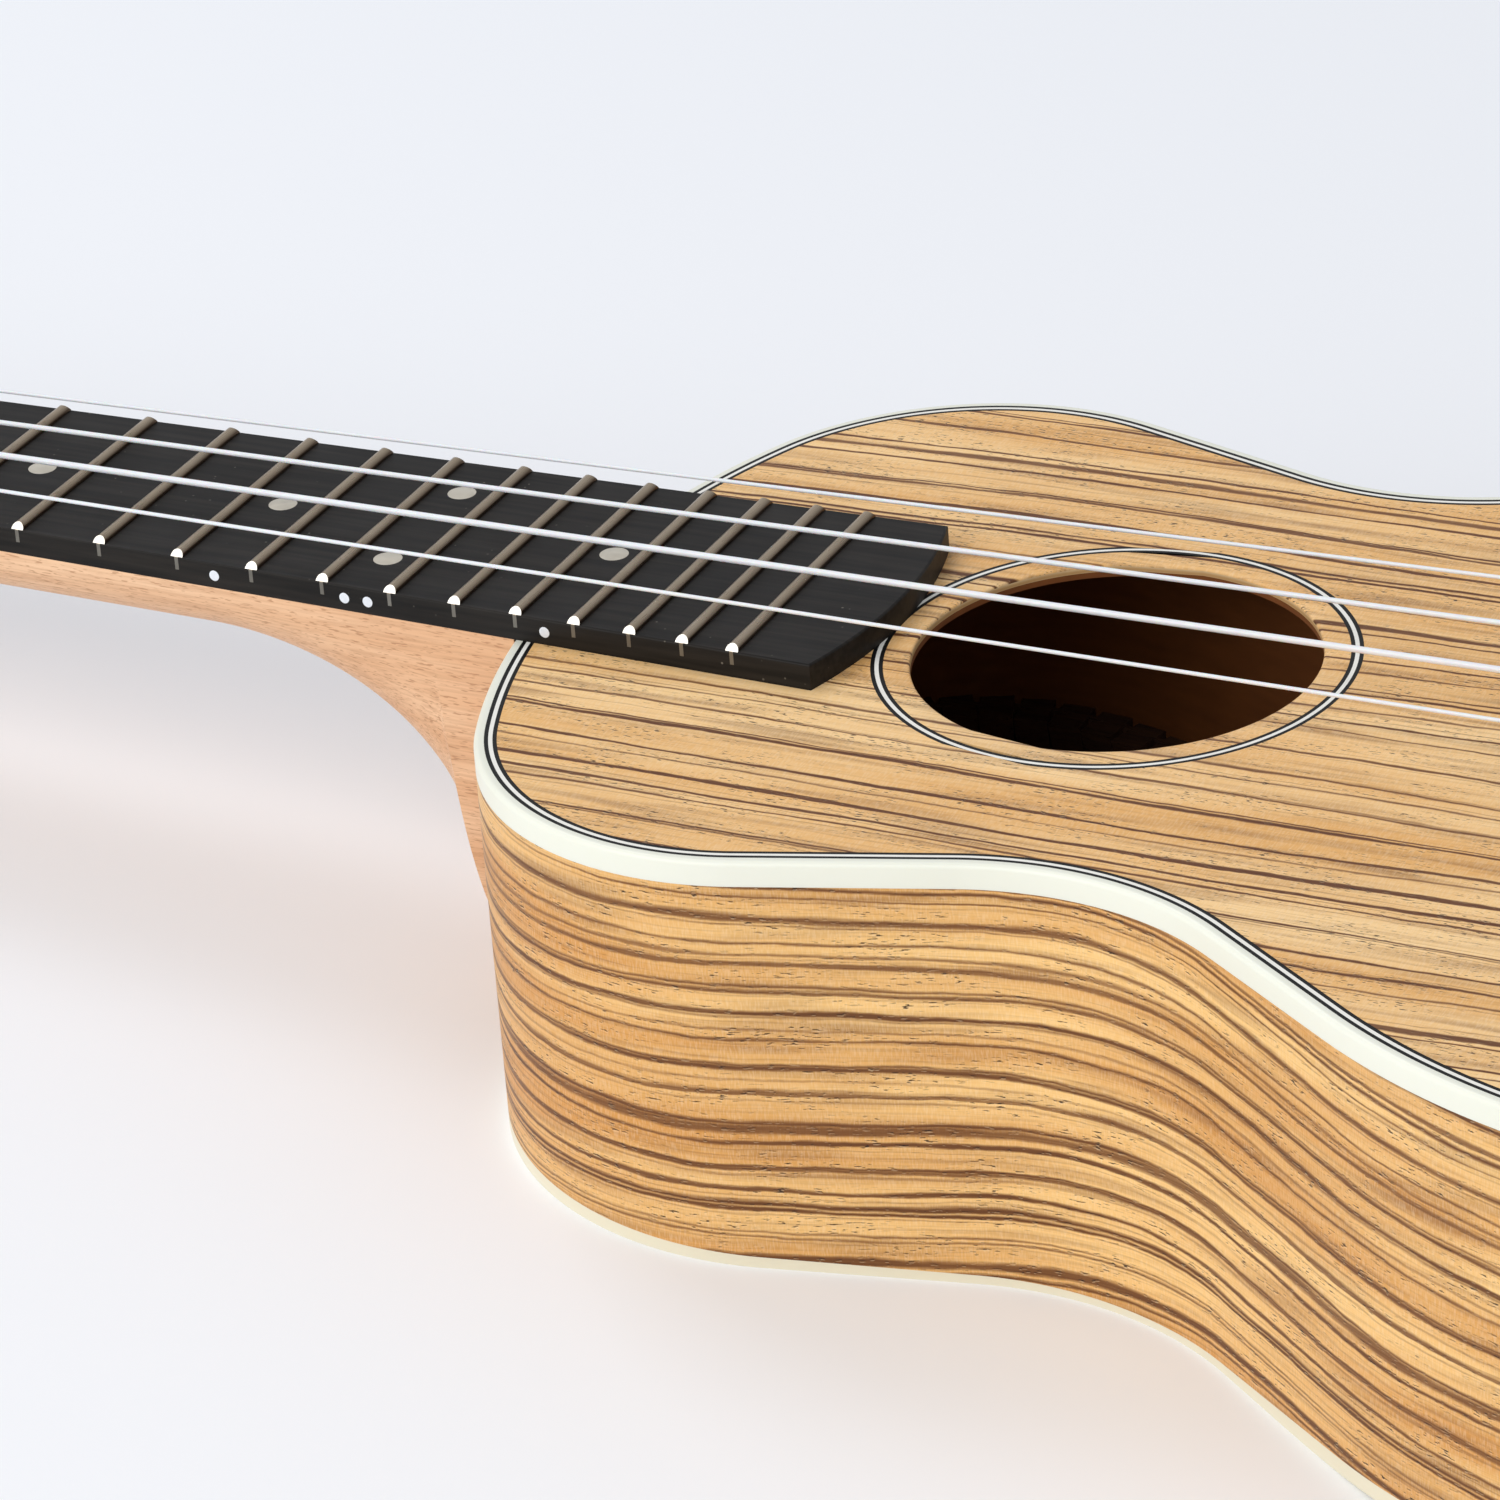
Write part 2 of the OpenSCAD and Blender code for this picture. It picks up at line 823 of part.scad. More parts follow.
module string_line(i) {
    r = string_r(i);
    over_nut = nut_x - nut_t - 0.5;
    inner = tuner_side(i + 1) < 0 ? 1 : -1;
    wind_end = from_head([
        post_xy(i).x + 0.4,
        post_xy(i).y + inner * (winding_r(i) + r + string_gap),
        wind_z + 2 * r
    ]);
    a = [over_nut, string_y(i, over_nut), string_z(i, over_nut)];
    b = [saddle_x + saddle_t / 2 + 0.3, string_y(i, saddle_x), string_z(i, saddle_x + saddle_t / 2 + 0.3)];
    c = [saddle_x + trough[1] - 0.6, b.y, tie_z];
    out = [saddle_x + bridge_x - bridge_front + 0.1, b.y, tie_z];
    knot = [for (k = [0:4]) out + [knot_r * (1 - cos(45 * k)), 0, 0]];
    color("white") place()
        tube(concat([wind_end, a, b, c], knot), concat([r, r, r, r], [for (k = [0:4]) max(r, knot_r * sin(45 * k))]));
}

module string_g() { string_line(0); }
module string_c() { string_line(1); }
module string_e() { string_line(2); }
module string_a() { string_line(3); }

// ---------- tuners ----------
module post_bushings() {
    color("silver") place()
        for (i = [1:4])
            at_tuner(i)
                difference() {
                    union() {
                        translate([0, 0, back_z])
                            cylinder(h = -back_z, r = bush_r);
                        cylinder(h = bush_flange_t, r = bush_flange_r);
                    }
                    translate([0, 0, back_z - 1])
                        cylinder(h = 40, r = post_r + run_gap);
                }
}

// A base plate with two ears that carry the worm
module tuner_plates() {
    color("silver") place()
        for (i = [1:4])
            at_tuner(i)
                difference() {
                    union() {
                        translate([-plate_l + 13, -plate_w / 2, back_z - plate_t])
                            cube([plate_l, plate_w, plate_t]);
                        for (s = [-1, 1]) {
                            translate([-mesh_d - ear_r, s * (ear_y + ear_t / 2) - ear_t / 2, worm_z])
                                cube([2 * ear_r, ear_t, back_z - plate_t - worm_z]);
                            translate([-mesh_d, s * (ear_y + ear_t / 2) + ear_t / 2, worm_z])
                                rotate([90, 0, 0])
                                    cylinder(h = ear_t, r = ear_r);
                        }
                    }
                    translate([0, 0, back_z - 5])
                        cylinder(h = 10, r = post_r + run_gap);
                    translate([-mesh_d, 20, worm_z])
                        rotate([90, 0, 0])
                            cylinder(h = 40, r = shaft_r + run_gap);
                    for (x = [-plate_l + 9, 7.2])
                        translate([x, 0, back_z - 5])
                            cylinder(h = 10, r = screw_r);
                }
}

module tuner_screws() {
    color("silver") place()
        screw_places() {
            translate([0, 0, -plate_t])
                cylinder(h = screw_l, r = screw_r);
            translate([0, 0, -plate_t - 1])
                cylinder(h = 1, r = screw_head_r);
        }
}

// The worm and its shaft: a round section turned about the shaft's axis, off centre
module worm() {
    translate([-mesh_d, 0, worm_z])
        rotate([-90, 0, 0])
            union() {
                translate([0, 0, -worm_l / 2])
                    rotate([0, 0, 180 + 360 * worm_turns / 2])
                        linear_extrude(worm_l, twist = 360 * worm_turns, slices = 8 * worm_turns, $fn = 12)
                            translate([worm_throw, 0])
                                circle(worm_mean_r);
                translate([0, 0, -ear_y - ear_t - 0.6])
                    cylinder(h = ear_y + ear_t + 0.6 + button_y + button_bite, r = shaft_r);
            }
}

module button() {
    translate([-mesh_d, button_y, worm_z])
        rotate([-90, 0, 0])
            difference() {
                intersection() {
                    translate([0, 0, button_l / 2])
                        rotate([90, 0, 0])
                            cylinder(h = button_t, r = button_w / 2, center = true);
                    translate([-button_w / 2, -button_t / 2, 0])
                        cube([button_w, button_t, button_l]);
                }
                translate([0, 0, -1])
                    cylinder(h = button_bite + 1, r = shaft_r);
            }
}

module post() {
    difference() {
        union() {
            translate([0, 0, gear_top])
                cylinder(h = post_h - gear_top, r = post_r);
            translate([0, 0, gear_top - gear_t])
                cylinder(h = gear_t, r = gear_seat_r);
        }
        translate([0, 0, gear_top - gear_t - 1])
            cylinder(h = 6, r = gear_screw_r);
        translate([0, 10, post_h - 2.4])
            rotate([90, 0, 0])
                cylinder(h = 20, r = 0.8);
    }
}

module gear() {
    translate([0, 0, gear_top - gear_t])
        linear_extrude(gear_t)
            difference() {
                union() {
                    circle(gear_root_r);
                    for (k = [0:gear_teeth - 1])
                        rotate(180 + 360 * k / gear_teeth)
                            polygon([
                                [gear_root_r - 0.6, -0.75], [gear_tip_r, -0.25],
                                [gear_tip_r, 0.25], [gear_root_r - 0.6, 0.75]
                            ]);
                }
                circle(gear_seat_r);
            }
}

module gear_screw() {
    translate([0, 0, gear_top - gear_t - 1.2])
        union() {
            cylinder(h = 1.2, r = 2.8);
            cylinder(h = 1.2 + 4, r = gear_screw_r);
        }
}

module winding(i) {
    r = string_r(i);
    translate([0, 0, wind_z])
        rotate_extrude()
            union() {
                for (k = [0:wind_turns - 1])
                    translate([groove_r + r, r + 1.9 * r * k])
                        circle(r, $fn = 20);
                translate([groove_r, r])
                    square([r, 1.9 * r * (wind_turns - 1)]);
            }
}

module worm_at(i) { color("silver") place() at_tuner(i) worm(); }
module button_at(i) { color("white") place() at_tuner(i) button(); }
module post_at(i) { color("silver") place() at_tuner(i) post(); }
module gear_at(i) { color("gold") place() at_tuner(i) gear(); }
module gear_screw_at(i) { color("silver") place() at_tuner(i) gear_screw(); }
module winding_at(i) { color("white") place() at_tuner(i) winding(i - 1); }

soundboard();
back_plate();
side_bass();
side_treble();
binding_top();
binding_back();
purfling_black();
purfling_white();
rosette_black();
rosette_white();
neck_block();
tail_block();
lining_top();
lining_back();
top_braces();
bridge_plate();
back_braces();
neck();
heel_cap();
headstock();
headstock_veneer();
fretboard();
frets();
position_dots();
side_dots();
nut();
bridge();
saddle();
string_g();
string_c();
string_e();
string_a();
post_bushings();
tuner_plates();
tuner_screws();
worm_at(1);  // worm_1
worm_at(2);  // worm_2
worm_at(3);  // worm_3
worm_at(4);  // worm_4
button_at(1);  // button_1
button_at(2);  // button_2
button_at(3);  // button_3
button_at(4);  // button_4
post_at(1);  // post_1
post_at(2);  // post_2
post_at(3);  // post_3
post_at(4);  // post_4
gear_at(1);  // gear_1
gear_at(2);  // gear_2
gear_at(3);  // gear_3
gear_at(4);  // gear_4
gear_screw_at(1);  // gear_screw_1
gear_screw_at(2);  // gear_screw_2
gear_screw_at(3);  // gear_screw_3
gear_screw_at(4);  // gear_screw_4
winding_at(1);  // winding_1
winding_at(2);  // winding_2
winding_at(3);  // winding_3
winding_at(4);  // winding_4
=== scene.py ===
import math

import bmesh
import bpy
from mathutils import Matrix, Vector


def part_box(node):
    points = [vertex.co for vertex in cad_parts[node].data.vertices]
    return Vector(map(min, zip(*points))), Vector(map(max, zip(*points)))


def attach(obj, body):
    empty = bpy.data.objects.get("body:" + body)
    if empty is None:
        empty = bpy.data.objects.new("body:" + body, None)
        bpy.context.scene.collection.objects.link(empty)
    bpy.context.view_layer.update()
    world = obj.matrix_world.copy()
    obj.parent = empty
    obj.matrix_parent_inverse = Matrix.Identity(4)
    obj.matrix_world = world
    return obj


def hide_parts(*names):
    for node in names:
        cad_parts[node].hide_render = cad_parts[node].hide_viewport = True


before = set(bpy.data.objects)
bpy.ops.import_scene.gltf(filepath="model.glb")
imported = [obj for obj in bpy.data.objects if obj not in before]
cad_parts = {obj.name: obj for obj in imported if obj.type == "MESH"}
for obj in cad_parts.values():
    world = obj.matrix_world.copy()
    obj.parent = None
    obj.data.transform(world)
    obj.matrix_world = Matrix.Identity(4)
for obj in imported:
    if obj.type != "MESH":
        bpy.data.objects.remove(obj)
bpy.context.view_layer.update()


# ---------------- studio
# The instrument lies on a white table sheet under large soft lights. The camera stands low
# on the bass side with a long lens and looks over the neck joint at the soundhole.
MM = 0.001
cad = {name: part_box(name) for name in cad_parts}
neck_end_x = cad["binding_top"][0].x
tail_x = cad["binding_top"][1].x
top_z = cad["binding_top"][1].z
body_l = tail_x - neck_end_x
taper_l = 0.4375 * body_l  # the back slopes over this length from the neck
tail_depth, neck_depth = 70.2 * MM, 60.2 * MM
hole_x = (cad["rosette_white"][0].x + cad["rosette_white"][1].x) / 2

scene = bpy.context.scene
scene.view_settings.view_transform = "Standard"


def direction(azimuth, elevation):
    a, e = math.radians(azimuth), math.radians(elevation)
    return Vector((math.sin(a) * math.cos(e), -math.cos(a) * math.cos(e), math.sin(e)))


camera_back = direction(27.7585, 27.2887)
camera_aim = Vector((hole_x - 36.9 * MM, -42.7 * MM, top_z))
camera = bpy.data.objects.new("camera", bpy.data.cameras.new("camera"))
scene.collection.objects.link(camera)
camera.data.lens = 170.4
camera.data.sensor_width = 36
camera.data.dof.use_dof = False
camera.data.clip_start, camera.data.clip_end = 0.05, 50
camera.location = camera_aim + camera_back * 982.5 * MM
camera_roll = Matrix.Rotation(-0.0760, 4, "Z")
camera.rotation_mode = "QUATERNION"
camera.rotation_quaternion = (
    (-camera_back).to_track_quat("-Z", "Y").to_matrix().to_4x4() @ camera_roll
).to_quaternion()
scene.camera = camera


def linear(colour):
    """The linear values of an sRGB hex colour such as E8C79A."""
    parts = [int(colour[i:i + 2], 16) / 255 for i in (0, 2, 4)]
    return [c / 12.92 if c <= 0.04045 else ((c + 0.055) / 1.055) ** 2.4 for c in parts] + [1]


def add(tree, kind, inputs=None, **settings):
    """Adds a node with its settings; an input is a value or the socket that feeds it."""
    made = tree.nodes.new(kind)
    for name, value in settings.items():
        setattr(made, name, value)
    for name, value in (inputs or {}).items():
        if isinstance(value, bpy.types.NodeSocket):
            tree.links.new(value, made.inputs[name])
        else:
            made.inputs[name].default_value = value
    return made


def new_material(name):
    """An empty material and its node tree."""
    made = bpy.data.materials.new(name)
    made.use_nodes = True
    made.node_tree.nodes.clear()
    return made, made.node_tree


def finish_material(tree, **inputs):
    """Ends a material in one shader; the keywords are its sockets, with _ for a space."""
    sockets = {name.replace("_", " "): value for name, value in inputs.items()}
    shader = add(tree, "ShaderNodeBsdfPrincipled", sockets)
    add(tree, "ShaderNodeOutputMaterial", {"Surface": shader.outputs[0]})
    return shader


# White paper sheet: matt, with no pattern to see at this distance.
table_sheet, tree = new_material("white_table_sheet")
finish_material(tree, Base_Color=linear("F5F7FA"), Roughness=0.75)


def floor_contact():
    """Point and slope of the table: it touches the low end of the head and the back."""
    found = []
    for head in [cad[n][0] for n in ("headstock", "button_1", "button_2", "tuner_plates")]:
        slopes = []
        for step in range(60):
            x = neck_end_x + body_l * step / 60
            share = 1 - min(1, (x - neck_end_x) / taper_l)
            back_z = cad["side_bass"][0].z + share * (tail_depth - neck_depth)
            slopes.append(math.atan2(back_z - head.z, x - head.x))
        found.append((min(slopes), head))
    lean, foot = max(found, key=lambda entry: entry[0])
    return foot, lean


floor = bpy.data.objects.new("table", bpy.data.meshes.new("table"))
scene.collection.objects.link(floor)
floor_reach = 14
floor_foot, floor_lean = floor_contact()
floor_turn = Matrix.Rotation(-floor_lean, 3, "Y")
floor.data.from_pydata(
    [floor_turn @ Vector((x * floor_reach, y * floor_reach, 0))
     + Vector((floor_foot.x, 0, floor_foot.z)) for x, y in ((-1, -1), (1, -1), (1, 1), (-1, 1))],
    [], [(0, 1, 2, 3)])
floor.data.materials.append(table_sheet)

world = bpy.data.worlds.new("studio_air")
scene.world = world
world.use_nodes = True
world.node_tree.nodes["Background"].inputs["Color"].default_value = linear("F1F4FA")
world.node_tree.nodes["Background"].inputs["Strength"].default_value = 0.61


def softbox(name, azimuth, elevation, distance, size, power, tint):
    light = bpy.data.objects.new(name, bpy.data.lights.new(name, "AREA"))
    scene.collection.objects.link(light)
    light.data.shape = "RECTANGLE"
    light.data.size, light.data.size_y = size
    light.data.energy = power
    light.data.color = linear(tint)[:3]
    toward = direction(azimuth, elevation)
    light.location = Vector((neck_end_x, 0, top_z)) + toward * distance
    light.rotation_mode = "QUATERNION"
    light.rotation_quaternion = (-toward).to_track_quat("-Z", "Y")


softbox("left_softbox", -122, 54, 2.2, (0.8, 0.8), 8, "FCFBFF")
softbox("front_softbox", -16, 37, 2.6, (2.6, 1.8), 44, "FFFEFC")


# ---------------- body outline
# The outline every body piece follows: tangent arcs from the neck end to the tail, mirrored.
# Moving inwards by inset changes only the radii, so the same place on two lines faces itself.
upper_w, waist_w, lower_w = 150.4 * MM, 124.4 * MM, 208.4 * MM
bind_w, line_w, side_t = 1.5 * MM, 0.6 * MM, 2 * MM
edge_w = bind_w + 3 * line_w
bind_top_h, bind_back_h = 3.7 * MM, 3 * MM
top_t = back_t = 2 * MM


def polar(centre, radius, degrees):
    a = math.radians(degrees)
    return Vector((centre[0] + radius * math.cos(a), centre[1] + radius * math.sin(a)))


def outline_arcs():
    """(centre, radius, first angle, last angle, 1 where moving inwards shrinks it) of each arc."""
    upper_r, waist_r, lower_r, tail_r = (k * body_l for k in (0.1476, 0.159, 0.3717, 0.604))
    upper = Vector((0.1701 * body_l, upper_w / 2 - upper_r))
    waist = Vector((0.3615 * body_l, waist_w / 2 + waist_r))
    lower = Vector((0.7404 * body_l, lower_w / 2 - lower_r))
    end_r = (upper.length_squared - upper_r ** 2) / (2 * (upper.x - upper_r))
    end = Vector((end_r, 0))
    corner_angle = 80
    turn = polar((0, 0), 1, corner_angle)
    tail = Vector((body_l - tail_r, 0))
    d = lower - tail + lower_r * turn
    corner_r = (d.length_squared - tail_r ** 2) / (2 * (d.dot(turn) - tail_r))
    corner = lower + (lower_r - corner_r) * turn

    def touch(c, r, side):
        v = waist - c
        return math.degrees(math.atan2(v.y, v.x) + side * math.acos((r + waist_r) / v.length))

    end_turn = math.degrees(math.atan2(upper.y, upper.x - end_r))
    upper_turn, lower_turn = touch(upper, upper_r, 1), touch(lower, lower_r, -1)
    tail_turn = math.degrees(math.atan2(corner.y, corner.x - tail.x))
    return [
        (end, end_r, 180, end_turn, 1), (upper, upper_r, end_turn, upper_turn, 1),
        (waist, waist_r, upper_turn + 180, lower_turn + 180, -1),
        (lower, lower_r, lower_turn, corner_angle, 1),
        (corner, corner_r, corner_angle, tail_turn, 1), (tail, tail_r, tail_turn, 0, 1)]


BODY_ARCS = outline_arcs()
body_end_r = BODY_ARCS[0][1]


def half_rim(inset, fine):
    """Points of one half outline, with y from 0 up to the treble side and back to 0."""
    points = []
    for k, (centre, radius, first, last, shrinks) in enumerate(BODY_ARCS):
        steps = max(3, round(abs(last - first) * radius / body_l * 3.0 * fine))
        for i in range(steps + (k == len(BODY_ARCS) - 1)):
            p = polar(centre, radius - inset * shrinks, first + (last - first) * i / steps)
            points.append(Vector((neck_end_x + p.x, p.y)))
        if k in (1, 2):  # a straight run joins the bouts to the waist, and it needs its end point
            p = polar(centre, radius - inset * shrinks, last)
            points.append(Vector((neck_end_x + p.x, p.y)))
    return points


taper = math.atan((tail_depth - neck_depth) / taper_l)
bend_r = 400 * MM
bend_half = bend_r * math.tan(taper / 2)


def underside(x, lift=0):
    """Height of the underside of the body at x, moved up by lift."""
    from_bend = x - neck_end_x - taper_l
    level = top_z - tail_depth
    if from_bend >= bend_half:
        return level + lift
    if from_bend > -bend_half * math.cos(taper):
        return level + bend_r - math.sqrt((bend_r - lift) ** 2 - (from_bend - bend_half) ** 2)
    return level - from_bend * math.tan(taper) + lift / math.cos(taper)


def skin(rows, around, ring=False):
    """Faces over rows of points that each close round. A ring joins its last row to its first,
    and anything else gets two flat ends."""
    faces = [(k * around + i, k * around + (i + 1) % around,
              (k + 1) % rows * around + (i + 1) % around, (k + 1) % rows * around + i)
             for k in range(rows if ring else rows - 1) for i in range(around)]
    if not ring:
        faces += [tuple(range(around)), tuple(range((rows - 1) * around, rows * around))]
    return faces


def make_piece(name, points, faces, material, smooth_below=40, uv=None):
    """A closed mesh piece; edges sharper than smooth_below degrees stay crisp."""
    mesh = bpy.data.meshes.new(name)
    mesh.from_pydata([tuple(p) for p in points], [], faces)
    if uv:
        layer = mesh.uv_layers.new(name="along")
        for loop in mesh.loops:
            layer.data[loop.index].uv = uv[loop.vertex_index]
    mesh.materials.append(material)
    made = bpy.data.objects.new(name, mesh)
    scene.collection.objects.link(made)
    work = bmesh.new()
    work.from_mesh(mesh)
    bmesh.ops.recalc_face_normals(work, faces=work.faces)
    for face in work.faces:
        face.smooth = True
    for edge in work.edges:
        edge.smooth = edge.is_manifold and edge.calc_face_angle(0) < math.radians(smooth_below)
    work.to_mesh(mesh)
    work.free()
    return made


def settle(piece, slot, *nodes, body="instrument"):
    """The piece moves with a CAD body and stands for the nodes; slot is not used."""
    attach(piece, body)
    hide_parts(*nodes)
    return piece


def sweep_rim(name, section, material, half=0):
    """Carries a section of (inset, height of x) corners round the rim, or along one half."""
    lines = [half_rim(inset, 2) for inset, _ in section]
    count = len(lines[0])
    path = [(i, half or 1) for i in range(count)]
    if not half:
        path += [(i, -1) for i in range(count - 2, 0, -1)]
    points, uv, run = [], [], 0
    for step, (i, side) in enumerate(path):
        if step:
            run += (lines[0][i] - lines[0][path[step - 1][0]]).length
        for line, (_, height) in zip(lines, section):
            points.append((line[i].x, side * line[i].y, height(line[i].x)))
            uv.append((run, points[-1][2]))
    faces = skin(len(path), len(section), ring=not half)
    return make_piece(name, points, faces, material, uv=uv)


def at_height(z):
    return lambda x: z


def over_back(lift):
    return lambda x: underside(x, lift)


# ---------------- zebrawood
# Zebrawood (zebrano) veneer, sanded and sealed with satin lacquer: honey-coloured wood with
# dark brown late-wood lines, crisp on one flank and fading on the other, and open pores.
def wiring(tree):
    """Shorthands for one node tree: put, calc, span and mix. Each gives a socket."""
    def put(kind, inputs=None, **settings):
        return add(tree, kind, inputs, **settings).outputs[0]

    def calc(operation, a, b=0.0, c=0.0, clamp=False):
        return put("ShaderNodeMath", {0: a, 1: b, 2: c}, operation=operation, use_clamp=clamp)

    def span(value, low=0.0, high=1.0, to_low=0.0, to_high=1.0):
        return put("ShaderNodeMapRange", {0: value, 1: low, 2: high, 3: to_low, 4: to_high})

    def mix(factor, a, b):
        a, b = (linear(c) if isinstance(c, str) else c for c in (a, b))
        return add(tree, "ShaderNodeMix", {0: factor, 6: a, 7: b}, data_type="RGBA").outputs[2]

    return put, calc, span, mix


def place_in(tree):
    """Where a point is in its object, in metres."""
    return add(tree, "ShaderNodeTexCoord").outputs["Object"]


def fine_bump(tree, height, strength, **settings):
    """A relief of a tenth of a millimetre."""
    return add(tree, "ShaderNodeBump", {
        "Height": height, "Strength": strength, "Distance": 0.1 * MM}, **settings).outputs[0]


def zebrawood(name, coords, light, deep, stripe, pitch, gloss, soft, lean=0.0):
    """The grain runs along the first coordinate; pitch is the spacing of bold lines in mm,
    soft is how far each line fades in mm, and lean is the grain's slope to the edge."""
    made, tree = new_material(name)
    put, calc, span, mix = wiring(tree)
    place = put("ShaderNodeUVMap", uv_map="along") if coords == "UV" else place_in(tree)
    along, across, depth = add(tree, "ShaderNodeSeparateXYZ", {0: place}).outputs

    def noise(long_mm, wide_mm, seed, detail=1.0, shift=0.0):
        """Noise whose blots are that long and wide in millimetres."""
        spot = put("ShaderNodeCombineXYZ", {
            0: calc("MULTIPLY", along, 1000 / long_mm),
            1: calc("MULTIPLY_ADD", across, 1000 / wide_mm, seed + shift / wide_mm),
            2: calc("MULTIPLY", depth, 1000 / wide_mm)})
        return put("ShaderNodeTexNoise", {"Vector": spot, "Scale": 1.0, "Detail": detail})

    # the grain wanders by a few millimetres over the length of the body, and trembles finely
    wander = calc("MULTIPLY_ADD", along, lean, across)
    for long_mm, wide_mm, seed, swing in ((240, 60, 3, 0.016), (60, 16, 7, 0.0028),
                                          (11, 4, 9, 0.0008), (2.5, 1.2, 11, 0.0003)):
        wander = calc("MULTIPLY_ADD", calc("SUBTRACT", noise(long_mm, wide_mm, seed), 0.5),
                      swing, wander)

    def lines(pitch_mm, seed, thin_mm, wide_mm, faint, blur_mm):
        """Late-wood lines: dark from a crisp flank, then fading out over blur_mm."""
        rows = calc("MULTIPLY_ADD", wander, 1000 / pitch_mm, seed)
        slow = put("ShaderNodeTexNoise", {
            "W": calc("MULTIPLY", rows, 0.71), "Scale": 1.0, "Detail": 0.0},
            noise_dimensions="1D")
        rows = calc("MULTIPLY_ADD", slow, 0.5, rows)
        part = calc("MULTIPLY", calc("FRACT", rows), pitch_mm)
        luck = put("ShaderNodeTexWhiteNoise", {"W": calc("FLOOR", rows)}, noise_dimensions="1D")
        other_luck = calc("FRACT", calc("MULTIPLY", luck, 7.31))
        width = span(calc("POWER", luck, 1.6), 0, 1, thin_mm, wide_mm)
        width = calc("MULTIPLY", width, span(noise(30, 5, seed), 0.3, 0.7, 0.6, 1.4))
        fade = calc("DIVIDE", calc("SUBTRACT", calc("ADD", width, blur_mm), part), blur_mm,
                    clamp=True)
        crisp = span(part, 0.0, 0.12 + 0.45 * soft)
        return calc("MULTIPLY", calc("MULTIPLY", fade, crisp), span(other_luck, 0, 1, faint, 1.0))

    bold = lines(pitch, 0.0, 0.3, 1.15 - 0.6 * soft, 0.7, soft)
    second = lines(pitch * 1.43, 31.0, 0.25, 0.8, 0.5, soft)
    fine = calc("MULTIPLY", lines(pitch * 0.37, 17.0, 0.05, 0.3, 0.0, soft * 0.7), 0.3 + 0.5 * soft)
    come_and_go = span(noise(45, 4, 21), 0.30, 0.55, 1.0 - 0.45 * soft, 1.0)
    dark = calc("MAXIMUM", calc("MAXIMUM", calc("MULTIPLY", bold, come_and_go), second), fine)
    fibre = noise(12, 0.32, 31, 3.0)
    dark = calc("MULTIPLY_ADD", calc("SUBTRACT", fibre, 0.5), 0.3 + 0.4 * soft, dark, clamp=True)

    # broad changes of tone, then fine flecks across the grain that catch the light
    wood = mix(span(noise(110, 11, 41, 3.0), 0.34, 0.64), light, deep)
    cast = calc("MULTIPLY", span(noise(35, 2.2, 43, 2.0), 0.5, 0.75), 0.55)
    wood = mix(cast, wood, stripe)
    fleck = span(noise(0.24, 1.5, 51, 1.0), 0.42, 0.70, 0.0, 0.20)
    wood = mix(fleck, wood, "FFE9C8")
    ink = calc("SUBTRACT", 1.0, calc("POWER", calc("SUBTRACT", 1.0, dark), 1.8))
    wood = mix(ink, wood, stripe)
    wood = mix(calc("MULTIPLY", calc("POWER", dark, 3.0), 0.4), wood, "3E2413")

    # pores are dark dashes 1 to 3 mm long, each with a pale painted highlight beside it that stands
    # in for the lacquer's glint at the pore
    where = span(noise(14, 3.0, 71), 0.40 + 0.12 * soft, 0.62)
    where = calc("MAXIMUM", where, calc("MULTIPLY", dark, 1.6 * soft), clamp=True)
    long_pore = 1.1 + 1.3 * soft
    pore = calc("MULTIPLY", span(noise(long_pore, 0.3, 61, 2.0), 0.605, 0.64), where)
    pore_glint = calc("MULTIPLY", span(noise(long_pore, 0.3, 61, 2.0, shift=0.25), 0.62, 0.66), where)
    wood = mix(calc("MULTIPLY", pore_glint, 0.15 + 0.35 * soft), wood, "FFE2B4")
    wood = mix(calc("MULTIPLY", pore, 0.9), wood, "241208")

    relief = calc("MULTIPLY_ADD", pore, -1.0, calc("MULTIPLY", fibre, 0.3))
    finish_material(
        tree, Base_Color=wood, Roughness=span(fibre, 0.3, 0.7, gloss - 0.05, gloss + 0.07),
        Normal=fine_bump(tree, relief, 0.3), Specular_IOR_Level=0.28)
    return made


# ---------------- sides
# Two ribs of zebrawood, bent over heat and joined at the neck block and the tail block,
# rebated along both edges for the bindings. The grain runs along the bend.
rib_wood = zebrawood("zebrawood_ribs", "UV", "F3C57E", "D2954C", "784922", 3.8, 0.40, 0.5, 0.035)


def two_tone(name, colours, scale, detail=2.0, stretch=None, swirl=0.0, scrape=None, **finish):
    """Blots of two colours. Stretch draws the blots out along the axes, swirl bends them,
    scrape is the scale of fine scraper marks, and finish names sockets of the shader."""
    made, tree = new_material(name)
    put, _, _, mix = wiring(tree)
    place = place_in(tree)
    if scrape:
        marks = put("ShaderNodeTexNoise", {"Vector": place, "Scale": scrape, "Detail": 1.0})
        finish["Normal"] = fine_bump(tree, marks, 0.05)
    if stretch:
        place = put("ShaderNodeMapping", {"Vector": place, "Scale": stretch})
    blots = put("ShaderNodeTexNoise", {
        "Vector": place, "Scale": scale, "Detail": detail, "Distortion": swirl})
    finish_material(tree, Base_Color=mix(blots, *colours), **finish)
    return made


# The unvarnished inside of the body: brown ply faces that show their grain as faint streaks,
# painted a darker brown than the bare ply as painted shade for the dark inside of the body.
inside_ply = two_tone("inside_ply_painted_shade", ("6E3A10", "8E5220"), 1.0, 3.0, (20, 400, 400),
                      Roughness=0.8)


def line_inside(piece, chosen):
    """Gives the faces that chosen picks the darkened inside finish, which carries painted shade."""
    piece.data.materials.append(inside_ply)
    for face in piece.data.polygons:
        if chosen(face):
            face.material_index = 1
    return piece


